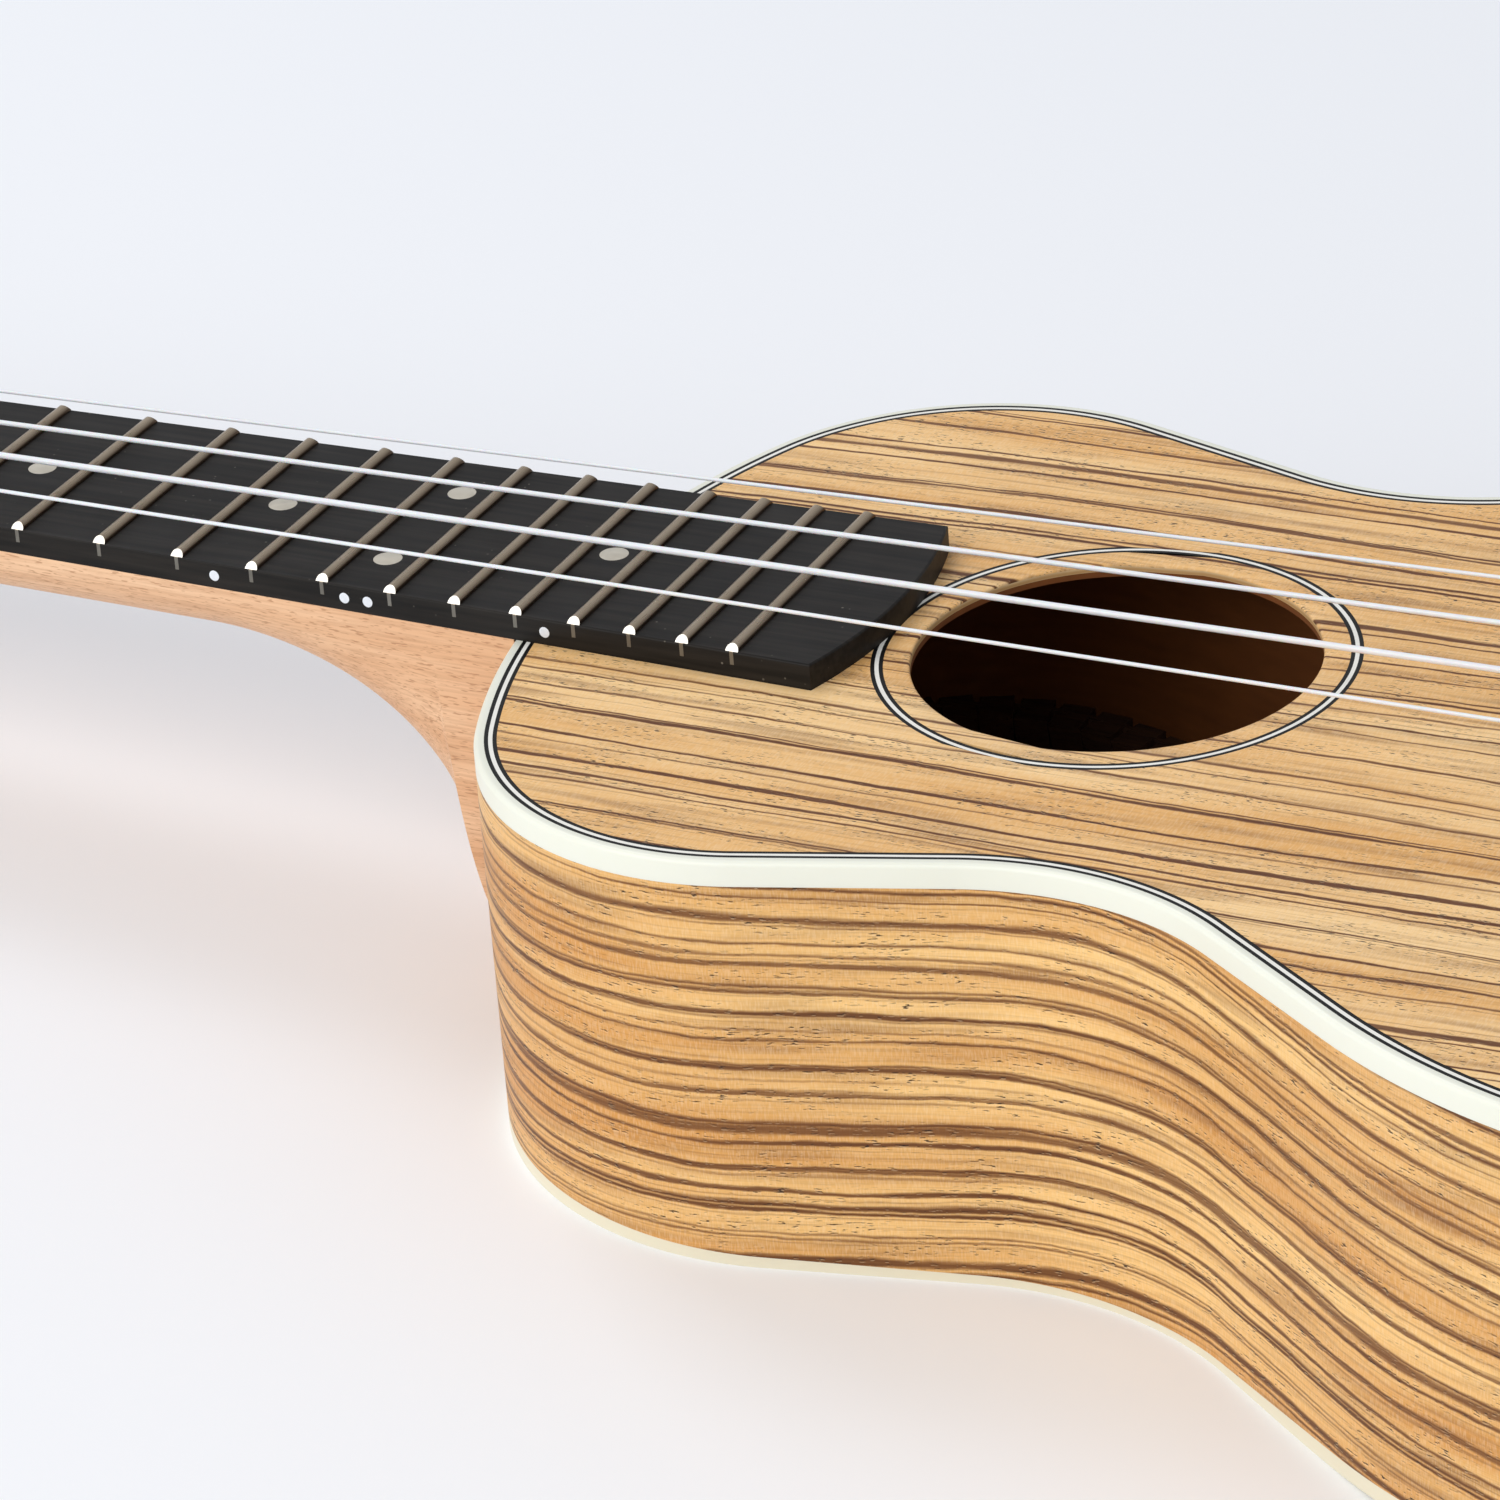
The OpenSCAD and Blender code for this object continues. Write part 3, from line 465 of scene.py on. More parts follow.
rib_section = [
    (0, over_back(bind_back_h)), (0, at_height(top_z - bind_top_h)),
    (bind_w, at_height(top_z - bind_top_h)), (bind_w, at_height(top_z - top_t)),
    (side_t, at_height(top_z - top_t)), (side_t, over_back(back_t)),
    (bind_w, over_back(back_t)), (bind_w, over_back(bind_back_h))]
inner_wall = len(rib_section) - 4
for side_name, side in (("side_bass", -1), ("side_treble", 1)):
    rib = sweep_rim(side_name + "_rib", rib_section, rib_wood, half=side)
    # the inner wall takes the darkened inside finish: painted shade
    line_inside(rib, lambda face: face.index % len(rib_section) == inner_wall)
    settle(rib, "zebrawood_sides", side_name)


# ---------------- bindings
# Cream ABS strip glued into the rebates at the top and the back, scraped flush, its outer
# corner rounded over. It has a soft shine; the top strip is faintly green-white, and the back
# strip is painted darker and yellower: painted shade for the strip that lies low by the table.
def binding_plastic(name, *colours):
    """Scraped and buffed plastic: a soft sheen, faint clouds and fine scraper marks."""
    return two_tone(name, colours, 60.0, 3.0, scrape=900.0, Roughness=0.34,
                    Specular_IOR_Level=0.45, Subsurface_Weight=0.12, Subsurface_Scale=0.002,
                    Subsurface_Radius=(1.0, 0.9, 0.7))


ivory = binding_plastic("cream_abs_binding", "EDEDDF", "E7E8D8")
# the back strip is painted darker and yellower: painted shade for the strip low by the table
shaded_back_ivory = binding_plastic("cream_abs_back_binding_painted_shade", "E9E1C8", "E3DAC0")

corner_r = 0.8 * MM
quarter = [(corner_r * math.sin(a), corner_r * math.cos(a))
           for a in (math.radians(15 * k) for k in range(7))]
round_top = [(corner_r - out, at_height(top_z - corner_r + up)) for out, up in quarter[::-1]]
binding_section = [(0, at_height(top_z - bind_top_h))] + round_top + [
    (bind_w, at_height(top_z)), (bind_w, at_height(top_z - bind_top_h))]
settle(sweep_rim("top_binding", binding_section, ivory), "cream_binding", "binding_top")

round_back = [(corner_r - out, over_back(corner_r - up)) for out, up in quarter]
back_section = round_back + [(0, over_back(bind_back_h)), (bind_w, over_back(bind_back_h)),
                             (bind_w, over_back(0))]
settle(sweep_rim("back_binding", back_section, shaded_back_ivory), "cream_binding", "binding_back")


# ---------------- purfling
# Black, white and black fibre lines, 0.6 mm each, let in between the binding and the top.
# The fibre is dyed through and looks flat in colour, with a faint streak.
black_fibre = two_tone("black_fibre", ("070707", "121212"), 700.0, Roughness=0.42,
                       Specular_IOR_Level=0.2)
white_fibre = two_tone("white_fibre", ("F3F1EA", "E6E4DC"), 700.0, Roughness=0.45,
                       Specular_IOR_Level=0.2)


def purfling_section(first, last):
    outer, inner = bind_w + first * line_w, bind_w + last * line_w
    top, bottom = at_height(top_z - 0.01 * MM), at_height(top_z - top_t)
    return [(outer, bottom), (outer, top), (inner, top), (inner, bottom)]


for name, first, last, material, slot in (
        ("outer_black_purfling", 0, 1, black_fibre, "black_line"),
        ("inner_black_purfling", 2, 3, black_fibre, "black_line"),
        ("white_purfling", 1, 2, white_fibre, "white_line")):
    settle(sweep_rim(name, purfling_section(first, last), material),
           slot, "purfling_" + slot.split("_")[0])


# ---------------- back
# Zebrawood back plate, level under the lower bout and sloping up to the neck.
back_wood = zebrawood("zebrawood_back", "Object", "EDB874", "D08A42", "78431A", 5.0, 0.38, 0.7)


def ladder(name, inset, low, high, material, columns=2):
    """A plate inside the rim: rungs across the body, closed by a wall at its edge."""
    rail = half_rim(inset, 1.5)
    rows = []
    for p in rail[1:-1]:
        rows.append([(p.x, p.y * (2 * c / columns - 1)) for c in range(columns + 1)])
    ends = (rail[0], rail[-1])
    points, faces = [], []
    for height in (low, high):
        points += [(x, y, height(x)) for row in rows for x, y in row]
        points += [(p.x, 0, height(p.x)) for p in ends]
    n, w = len(rows), columns + 1
    layer = n * w + 2
    for base in (0, layer):
        for i in range(n - 1):
            faces += [(base + i * w + c, base + i * w + c + 1, base + (i + 1) * w + c + 1,
                       base + (i + 1) * w + c) for c in range(columns)]
        for end, row in ((layer - 2, 0), (layer - 1, n - 1)):
            faces += [(base + end, base + row * w + c, base + row * w + c + 1)
                      for c in range(columns)]
    edge = ([layer - 2] + [i * w + columns for i in range(n)] + [layer - 1]
            + [i * w for i in range(n - 1, -1, -1)])
    faces += [(a, b, b + layer, a + layer) for a, b in zip(edge, edge[1:] + edge[:1])]
    return make_piece(name, points, faces, material)


back = ladder("back_panel", bind_w, over_back(0), over_back(back_t), back_wood)
# the upper face takes the darkened inside finish: painted shade
settle(line_inside(back, lambda face: face.normal.z > 0.9), "zebrawood_sides", "back_plate")


# ---------------- soundboard
# Zebrawood-faced laminate, 2 mm thick, with the soundhole and the rosette channel cut in it.
# The cut edge of the hole shows the pale plies.
top_wood = zebrawood("zebrawood_top", "Object", "FAD194", "E6AF68", "6C3D1C", 6.4, 0.44, 0.3)
ply_edge, tree = new_material("pale_ply_edge")
plies = add(tree, "ShaderNodeTexWave", {
    "Vector": place_in(tree), "Scale": 240.0, "Distortion": 0.6}, bands_direction="Z")
*_, mix = wiring(tree)
finish_material(tree, Base_Color=mix(plies.outputs["Fac"], "C79A63", "E2C495"), Roughness=0.6)

hole_r, rosette_r, rosette_depth = 29.2 * MM, 34.8 * MM, 1 * MM


def soundboard_piece():
    rail = half_rim(edge_w, 1.5)
    rim = rail + [Vector((p.x, -p.y)) for p in rail[-2:0:-1]]
    centre = Vector((hole_x, 0))
    ease = 0.35 * MM
    low = top_z - top_t
    rings = [(hole_r, low), (hole_r, top_z - 1.1 * MM), (hole_r, top_z - ease),
             (hole_r + 0.3 * ease, top_z - 0.3 * ease),
             (hole_r + ease, top_z), (rosette_r - 3 * line_w, top_z),
             (rosette_r - 3 * line_w, top_z - rosette_depth), (rosette_r, top_z - rosette_depth),
             (rosette_r, top_z)]
    points = []
    for radius, z in rings:
        points += [(centre + (p - centre).normalized() * radius).to_3d() + Vector((0, 0, z))
                   for p in rim]
    points += [p.to_3d() + Vector((0, 0, z)) for z in (top_z, low) for p in rim]
    n, m = len(rim), len(rings) + 2
    made = make_piece("soundboard_plate", points, skin(m, n, ring=True), top_wood, smooth_below=50)
    made.data.materials.append(inside_ply)
    made.data.materials.append(ply_edge)
    # the underside and the lower part of the hole's cut edge take the darkened inside finish:
    # painted shade
    for face in made.data.polygons:
        ring = face.index // n
        if ring in (0, m - 1):
            face.material_index = 1
        elif ring == 1:
            face.material_index = 2
    return made


settle(soundboard_piece(), "zebrawood_top", "soundboard")


# ---------------- rosette
# Black, white and black rings laid in the channel round the soundhole, level with the top.
def lathe(name, profile, material, centre, axis=Vector((0, 0, 1)), steps=96, smooth_below=40):
    """Turns a profile of (radius, height) about an axis; the profile may start or end on it."""
    turn = Vector((0, 0, 1)).rotation_difference(axis).to_matrix()
    points, rows = [], []
    for radius, height in profile:
        if radius < 1e-7:
            rows.append([len(points)] * steps)
            points.append(turn @ Vector((0, 0, height)) + centre)
            continue
        rows.append(list(range(len(points), len(points) + steps)))
        for i in range(steps):
            a = 2 * math.pi * i / steps
            spot = Vector((radius * math.cos(a), radius * math.sin(a), height))
            points.append(turn @ spot + centre)
    closed = profile[0][0] > 1e-7
    faces = []
    for k in range(len(rows) if closed else len(rows) - 1):
        a, b = rows[k], rows[(k + 1) % len(rows)]
        for i in range(steps):
            j = (i + 1) % steps
            faces.append(tuple(dict.fromkeys((a[i], a[j], b[j], b[i]))))
    return make_piece(name, points, faces, material, smooth_below)


for name, ring, material, slot in (
        ("rosette_inner_black", 2, black_fibre, "black_line"),
        ("rosette_middle_white", 1, white_fibre, "white_line"),
        ("rosette_outer_black", 0, black_fibre, "black_line")):
    outer = rosette_r - ring * line_w
    low, high = -rosette_depth, -0.01 * MM
    profile = [(outer, low), (outer, high), (outer - line_w, high), (outer - line_w, low)]
    settle(lathe(name, profile, material, Vector((hole_x, 0, top_z)), steps=180),
           slot, "rosette_" + slot.split("_")[0])


# ---------------- blocks and braces
# Spruce blocks, bars and fan braces and a maple bridge plate, glued inside the body. Their
# edges are eased by hand, and the wood is pale, straight-grained and unfinished.
def straight_wood(name, light, dark, pore, grain_mm, pore_mm, gloss, pore_cut=0.62):
    """Straight-grained wood along X: growth streaks, long colour changes and open pores."""
    made, tree = new_material(name)
    put, _, span, mix = wiring(tree)
    place = place_in(tree)

    def grain(long_mm, wide_mm, detail):
        spot = put("ShaderNodeMapping", {
            "Vector": place, "Scale": (1000 / long_mm, 1000 / wide_mm, 1000 / wide_mm)})
        return put("ShaderNodeTexNoise", {"Vector": spot, "Scale": 1.0, "Detail": detail})

    tone = mix(span(grain(90, grain_mm, 3), 0.35, 0.65), light, dark)
    tone = mix(span(grain(26, 0.5, 2), 0.42, 0.7, 0, 0.35), tone, pore)
    pores = span(grain(pore_mm, 0.26, 1), pore_cut, pore_cut + 0.07, 0, 0.6)
    finish_material(tree, Base_Color=mix(pores, tone, pore),
                    Normal=fine_bump(tree, pores, 0.2, invert=True),
                    Roughness=span(pores, 0, 1, gloss, gloss + 0.2))
    return made


def softened(name, node, width, material, slot, steps=2, body="instrument"):
    """A CAD node as one closed mesh with its sharp edges rounded over by width in mm."""
    made = bpy.data.objects.new(name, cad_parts[node].data.copy())
    scene.collection.objects.link(made)
    made.data.materials.clear()
    made.data.materials.append(material)
    work = bmesh.new()
    work.from_mesh(made.data)
    bmesh.ops.remove_doubles(work, verts=work.verts, dist=0.004 * MM)
    bmesh.ops.dissolve_limit(
        work, angle_limit=math.radians(0.6), verts=work.verts, edges=work.edges)
    limit = math.radians(35)
    for face in work.faces:
        face.smooth = any(math.radians(0.6) < e.calc_face_angle(0) < limit for e in face.edges)
    sharp = [e for e in work.edges if e.is_manifold and e.calc_face_angle(0) > limit]
    bevelled = bmesh.ops.bevel(work, geom=sharp, offset=width * MM, segments=steps, profile=0.5,
                               affect="EDGES", clamp_overlap=True)
    for face in bevelled["faces"]:
        face.smooth = True
    bmesh.ops.dissolve_degenerate(work, dist=0.0005 * MM, edges=work.edges)
    bmesh.ops.triangulate(work, faces=[f for f in work.faces if len(f.verts) > 4])
    for edge in work.edges:
        edge.smooth = edge.is_manifold and edge.calc_face_angle(0) < math.radians(50)
    work.to_mesh(made.data)
    work.free()
    return settle(made, slot, node, body=body)


spruce = straight_wood("raw_spruce", "D9B98C", "C49F6E", "9C7446", 1.8, 6, 0.7)
maple = straight_wood("raw_maple", "CFA878", "B98D5C", "8A6238", 4, 2, 0.65)
for node, width, material, slot in (
        ("neck_block", 0.6, spruce, "okoume"), ("tail_block", 0.6, spruce, "okoume"),
        ("top_braces", 1.2, spruce, "spruce"), ("back_braces", 1.2, spruce, "spruce"),
        ("bridge_plate", 0.4, maple, "spruce")):
    softened(node + "_eased", node, width, material, slot)


# ---------------- kerfed linings
# Strips of cedar sawn nearly through every 6 mm so that they bend, glued in the corners
# between the sides and the plates.
def tree_of(name, sizes):
    """An empty geometry tree with one geometry input and the named sizes."""
    made = bpy.data.node_groups.new(name, "GeometryNodeTree")
    made.interface.new_socket("Geometry", in_out="INPUT", socket_type="NodeSocketGeometry")
    made.interface.new_socket("Geometry", in_out="OUTPUT", socket_type="NodeSocketGeometry")
    for size, kind in sizes.items():
        made.interface.new_socket(size, in_out="INPUT", socket_type="NodeSocket" + kind)
    return made


def join(tree, *parts):
    """Several geometries as one."""
    made = add(tree, "GeometryNodeJoinGeometry")
    for part in parts:
        tree.links.new(part, made.inputs[0])
    return made.outputs[0]


def close_tree(tree, geometry, material):
    """Ends a tree: instances made real, one material, and the output."""
    real = add(tree, "GeometryNodeRealizeInstances", {"Geometry": geometry})
    dressed = add(tree, "GeometryNodeSetMaterial", {"Geometry": real.outputs[0]})
    dressed.inputs["Material"].default_value = material
    add(tree, "NodeGroupOutput", {"Geometry": dressed.outputs[0]})


def grow(name, points, edges, tree, values, material, smooth_below=40):
    """Runs a geometry tree on a bare line or point set and keeps the result as a plain mesh."""
    seed = bpy.data.meshes.new(name + "_path")
    seed.from_pydata([tuple(p) for p in points], edges, [])
    made = bpy.data.objects.new(name, seed)
    scene.collection.objects.link(made)
    modifier = made.modifiers.new("grow", "NODES")
    modifier.node_group = tree
    for item in tree.interface.items_tree:
        if item.in_out == "INPUT" and item.name in values:
            modifier[item.identifier] = values[item.name]
    evaluated = made.evaluated_get(bpy.context.evaluated_depsgraph_get())
    mesh = bpy.data.meshes.new_from_object(evaluated)
    made.modifiers.remove(modifier)
    made.data = mesh
    mesh.materials.clear()
    mesh.materials.append(material)
    work = bmesh.new()
    work.from_mesh(mesh)
    bmesh.ops.remove_doubles(work, verts=work.verts, dist=0.001 * MM)
    bmesh.ops.recalc_face_normals(work, faces=work.faces)
    for face in work.faces:
        face.smooth, face.material_index = True, 0
    for edge in work.edges:
        edge.smooth = edge.is_manifold and edge.calc_face_angle(0) < math.radians(smooth_below)
    work.to_mesh(mesh)
    work.free()
    return made


# the cedar is painted nearly black-brown: painted shade for the dark inside seen through the hole
shaded_lining_wood = straight_wood("lining_cedar_painted_shade", "54361F", "41281A", "2A180E", 3, 4, 0.8)
kerf_tree = tree_of("kerfed_lining", {
    "Pitch": "Float", "Block": "Vector", "Web": "Float", "Way Up": "Float"})
put, calc, *_ = wiring(kerf_tree)
inputs = add(kerf_tree, "NodeGroupInput").outputs
rail = put("GeometryNodeMeshToCurve", {0: inputs["Geometry"]})
spaced = put("GeometryNodeResampleCurve", {"Curve": rail, "Length": inputs["Pitch"]},
             mode="LENGTH")
facing = put("FunctionNodeAlignRotationToVector", {"Vector": put("GeometryNodeInputTangent")},
             axis="X", pivot_axis="Z")
where = add(kerf_tree, "ShaderNodeSeparateXYZ", {0: put("GeometryNodeInputPosition")}).outputs
lean = calc("MULTIPLY", calc("MULTIPLY", where[2], inputs["Way Up"]), 0.28)
wedge = put("GeometryNodeSetPosition", {
    "Geometry": put("GeometryNodeMeshCube", {"Size": inputs["Block"]}),
    "Offset": put("ShaderNodeCombineXYZ", {1: lean}),
    "Selection": put("FunctionNodeCompare", {0: where[1], 1: 0.0}, operation="LESS_THAN")})
blocks = put("GeometryNodeInstanceOnPoints", {
    "Points": spaced, "Instance": wedge, "Rotation": facing})
block_size = add(kerf_tree, "ShaderNodeSeparateXYZ", {0: inputs["Block"]}).outputs
web = put("GeometryNodeCurveToMesh", {
    "Curve": rail, "Profile Curve": put("GeometryNodeCurvePrimitiveQuadrilateral", {
        "Width": inputs["Web"], "Height": block_size[2]}), "Fill Caps": True})
close_tree(kerf_tree, join(kerf_tree, blocks, web), shaded_lining_wood)

lining_w, lining_h = 5.5 * MM, 12 * MM
for name, node, height, way_up in (
        ("kerfed_lining_top", "lining_top", lambda x: top_z - top_t - lining_h / 2, 1.0),
        ("kerfed_lining_back", "lining_back", lambda x: underside(x, back_t + lining_h / 2), -1.0)):
    keep = [p for p in half_rim(side_t + lining_w / 2 + 0.2 * MM, 0.6)
            if p.x > neck_end_x + 20 * MM and p.x < tail_x - 20 * MM]
    points = [Vector((p.x, side * p.y, height(p.x))) for side in (-1, 1) for p in keep[::side]]
    edges = [(k * len(keep) + i, k * len(keep) + i + 1)
             for k in range(2) for i in range(len(keep) - 1)]
    block = (5.2 * MM, lining_w, lining_h - 0.4 * MM)
    piece = grow(name, points, edges, kerf_tree, {
        "Pitch": 6 * MM, "Block": block, "Web": 1 * MM, "Way Up": way_up}, shaded_lining_wood)
    settle(piece, "spruce", node)


# ---------------- neck
# One piece of okoume, carved round under the board and swept down into the heel, sanded
# and left with a thin matt seal: pinkish brown with short darker pores along the grain.
okoume = straight_wood("sealed_okoume", "F0C69E", "DDAA7E", "A8744E", 7, 1.9, 0.5, 0.60)
nut_end_x, nut_front_x = cad["nut"][0].x, cad["nut"][1].x
nut_w, joint_w = 33.7 * MM, 44.8 * MM
joint_x = neck_end_x + bind_w + 1.5 * line_w
neck_t, heel_r, heel_foot = 12.9 * MM, 42 * MM, 12 * MM
heel_cap_t, glue_gap = 1.5 * MM, 0.05 * MM
heel_z = neck_depth - 0.8 * MM - heel_cap_t


def half_w(x):
    """Half the width of the neck and board at x."""
    return (nut_w + (joint_w - nut_w) * (x - nut_front_x) / (joint_x - nut_front_x)) / 2


def neck_slices():
    """(x, depth) of the carved sections from the nut to the body."""
    heel_x = neck_end_x - heel_foot - heel_r
    run = [(nut_end_x, neck_t - 0.9 * MM)]
    run += [(nut_end_x + (heel_x - nut_end_x) * k / 6, neck_t - 0.9 * MM * (1 - k / 6))
            for k in range(1, 7)]
    for k in range(1, 31):
        a = math.radians(88 * k / 30)
        run.append((heel_x + heel_r * math.sin(a), neck_t + heel_r * (1 - math.cos(a))))
    full = heel_z + 6 * MM
    return run + [(neck_end_x - heel_foot + 0.6 * MM, full), (neck_end_x - heel_foot / 2, full),
                  (neck_end_x, full)]


def neck_piece():
    around = 48
    runs = neck_slices()
    points, faces = [], []
    for k, (x, depth) in enumerate(runs):
        for i in range(around + 1):
            a = math.pi * i / around
            y = -half_w(x) * math.cos(a)
            z = top_z - min(depth * math.sin(a), heel_z)
            at = x
            if k == len(runs) - 1:
                at = neck_end_x + body_end_r - math.sqrt((body_end_r + glue_gap) ** 2 - y * y)
            points.append((at, y, z))
    m, last = around + 1, (len(runs) - 1) * (around + 1)
    faces += [(k * m + i, k * m + (i + 1) % m, (k + 1) * m + (i + 1) % m, (k + 1) * m + i)
              for k in range(len(runs) - 1) for i in range(m if k < len(runs) - 2 else m - 1)]
    faces.append(tuple(range(around, -1, -1)))
    rim = [last] + list(range(len(points), len(points) + around - 1)) + [last + around]
    points += [(points[last + i][0], points[last + i][1], top_z) for i in range(1, around)]
    faces.append(tuple([last - m, last - 1] + rim[::-1]))
    for i in range(around):
        corners = (rim[i], last + i, last + i + 1, rim[i + 1])
        faces.append(tuple(dict.fromkeys(corners)))
    return make_piece("carved_neck", points, faces, okoume, smooth_below=35)


settle(neck_piece(), "okoume", "neck")


# ---------------- heel cap and headstock
# The heel cap is a slip of the binding's plastic. The headstock is okoume with a thin
# zebrawood veneer on its face, both bored for the tuner bushings; edges are sanded round.
head_tilt = math.radians(-9)
head_turn = Matrix.Translation((nut_end_x, 0, top_z)) @ Matrix.Rotation(head_tilt, 4, "Y")
softened("heel_cap_slip", "heel_cap", 0.3, ivory, "cream_binding")
softened("headstock_body", "headstock", 0.8, okoume, "okoume", steps=3)
softened("headstock_face", "headstock_veneer", 0.25, top_wood, "zebrawood_top")


# ---------------- fretboard
# Technical ebony board, machined and oiled: near-black with faint lengthwise streaks and a
# scatter of pale dust, softly shining, with its long edges just eased.
board_wood, tree = new_material("oiled_black_board")
put, calc, span, mix = wiring(tree)
place = place_in(tree)
streak = put("ShaderNodeTexNoise", {
    "Vector": put("ShaderNodeMapping", {"Vector": place, "Scale": (40, 900, 900)}),
    "Scale": 1.0, "Detail": 4.0})
dust = put("ShaderNodeTexVoronoi", {"Vector": place, "Scale": 420.0, "Randomness": 1.0})
lint = put("ShaderNodeTexNoise", {"Vector": place, "Scale": 90.0, "Detail": 2.0})
speck = calc("MULTIPLY", span(dust, 0.05, 0.09, 0.5, 0.0), span(lint, 0.52, 0.66))
finish_material(
    tree, Base_Color=mix(speck, mix(span(streak, 0.35, 0.7), "12100E", "25211D"), "8B857A"),
    Normal=fine_bump(tree, streak, 0.12), Roughness=span(lint, 0, 1, 0.36, 0.58),
    Specular_IOR_Level=0.18)

board_t = cad["fretboard"][1].z - top_z
board_tip_x, board_bulge = cad["fretboard"][1].x, 3.5 * MM
board_end_x = board_tip_x - board_bulge
board_top = top_z + board_t


def inset_outline(outline, by):
    """The closed outline moved inwards by that much, corner by corner."""
    moved = []
    for k, p in enumerate(outline):
        a, b = outline[k - 1], outline[(k + 1) % len(outline)]
        before, after = (p - a).normalized(), (b - p).normalized()
        normal = Vector((-before.y - after.y, before.x + after.x))
        moved.append(p + normal * by / (1 + before.dot(after)))
    return moved


def slab(name, outline, low, high, ease, material):
    """A plate of that outline between two heights with its top edge rounded over."""
    steps = [(0, low), (0, high - ease)]
    steps += [(ease * (1 - math.cos(a)), high - ease * (1 - math.sin(a)))
              for a in (math.pi / 6, math.pi / 3, math.pi / 2)]
    points = [p.to_3d() + Vector((0, 0, z)) for by, z in steps for p in inset_outline(outline, by)]
    faces = skin(len(steps), len(outline))
    made = make_piece(name, points, faces, material, smooth_below=38)
    made.data.polygons[len(faces) - 1].use_smooth = False
    return made


half_end = half_w(board_end_x)
bulge_r = (half_end ** 2 + board_bulge ** 2) / (2 * board_bulge)
bulge_turn = math.degrees(math.asin(half_end / bulge_r))
board_outline = [Vector((nut_front_x, -half_w(nut_front_x)))]
board_outline += [polar((board_tip_x - bulge_r, 0), bulge_r, bulge_turn * (k / 10 - 1))
                  for k in range(21)]
board_outline.append(Vector((nut_front_x, half_w(nut_front_x))))
settle(slab("black_fretboard", board_outline, top_z, board_top, 0.35 * MM, board_wood),
       "blackened_wood", "fretboard")


# ---------------- frets
# Nickel-silver wire with a half-round crown, pressed into slots by its tang. The crown's ends
# are filed to a bright slope, and the ends of the tangs show in the board's edge.
def brushed_metal(name, light, dark, roughness, scale, painted_flank_shade=None):
    """Polished metal with fine drawing marks, lighter and darker where it is handled. Metal
    with painted_flank_shade is painted that darker colour where it doesn't face up, as painted
    shade for the dark reflections along its sides."""
    made, tree = new_material(name)
    put, _, span, mix = wiring(tree)
    place = place_in(tree)
    marks = put("ShaderNodeTexNoise", {
        "Vector": put("ShaderNodeMapping", {"Vector": place, "Scale": scale}),
        "Scale": 1.0, "Detail": 2.0})
    cloud = put("ShaderNodeTexNoise", {"Vector": place, "Scale": 120.0, "Detail": 2.0})
    tone = mix(cloud, light, dark)
    # painted shade: faces that don't face up take the darker flank colour
    if painted_flank_shade:
        facing_up = add(tree, "ShaderNodeSeparateXYZ", {
            0: add(tree, "ShaderNodeNewGeometry").outputs["Normal"]}).outputs[2]
        tone = mix(span(facing_up, 0.35, 0.95), painted_flank_shade, tone)
    finish_material(
        tree, Base_Color=tone, Metallic=1.0, Normal=fine_bump(tree, marks, 0.06),
        Roughness=span(marks, 0.3, 0.7, roughness - 0.05, roughness + 0.1))
    return made


# the top of the crown keeps the light metal colour and its flanks are painted dark brown:
# painted shade standing in for the dark reflections along the sides of the wire
fret_metal = brushed_metal("nickel_silver_wire", "C2B29C", "AE9C84", 0.27, (3000, 200, 3000),
                           painted_flank_shade="574637")
scale_l = 381 * MM
fret_tree = tree_of("frets", {
    "Count": "Int", "Scale Length": "Float", "Nut X": "Float", "Nut Half Width": "Float",
    "Widening": "Float", "Board Top": "Float", "Crown": "Float", "Tang": "Vector",
    "End Slope": "Float", "End Inset": "Float"})
put, calc, *_ = wiring(fret_tree)
inputs = add(fret_tree, "NodeGroupInput").outputs


def sweep_bar(profile, half_width):
    """One bar across each fret point: a unit line along Y, stretched to the board's width."""
    bar = put("GeometryNodeCurveToMesh", {
        "Curve": put("GeometryNodeCurvePrimitiveLine", {
            "Start": (0.0, -1.0, 0.0), "End": (0.0, 1.0, 0.0)}),
        "Profile Curve": put("GeometryNodeTransform", {
            "Geometry": profile, "Rotation": (0.0, 0.0, math.pi)}), "Fill Caps": True})
    return put("GeometryNodeInstanceOnPoints", {
        "Points": fret_points, "Instance": bar,
        "Scale": put("ShaderNodeCombineXYZ", {0: 1.0, 1: half_width, 2: 1.0})})


number = calc("ADD", put("GeometryNodeInputIndex"), 1.0)
share = calc("SUBTRACT", 1.0, calc("POWER", 2.0, calc("DIVIDE", number, -12.0)))
fret_at = calc("MULTIPLY_ADD", share, inputs["Scale Length"], inputs["Nut X"])
fret_points = put("GeometryNodePoints", {
    "Count": inputs["Count"],
    "Position": put("ShaderNodeCombineXYZ", {0: fret_at, 2: inputs["Board Top"]})})
edge_y = calc("MULTIPLY_ADD", calc("SUBTRACT", fret_at, inputs["Nut X"]),
              inputs["Widening"], inputs["Nut Half Width"])
crown = put("GeometryNodeSetSplineCyclic", {
    "Geometry": put("GeometryNodeCurveArc", {
        "Resolution": 13, "Radius": inputs["Crown"], "Start Angle": 0.0,
        "Sweep Angle": math.pi}), "Cyclic": True})
tang_size = add(fret_tree, "ShaderNodeSeparateXYZ", {0: inputs["Tang"]}).outputs
tang = put("GeometryNodeTransform", {
    "Geometry": put("GeometryNodeCurvePrimitiveQuadrilateral", {
        "Width": tang_size[0], "Height": tang_size[2]}),
    "Translation": put("ShaderNodeCombineXYZ", {1: calc("MULTIPLY", tang_size[2], -0.5)})})
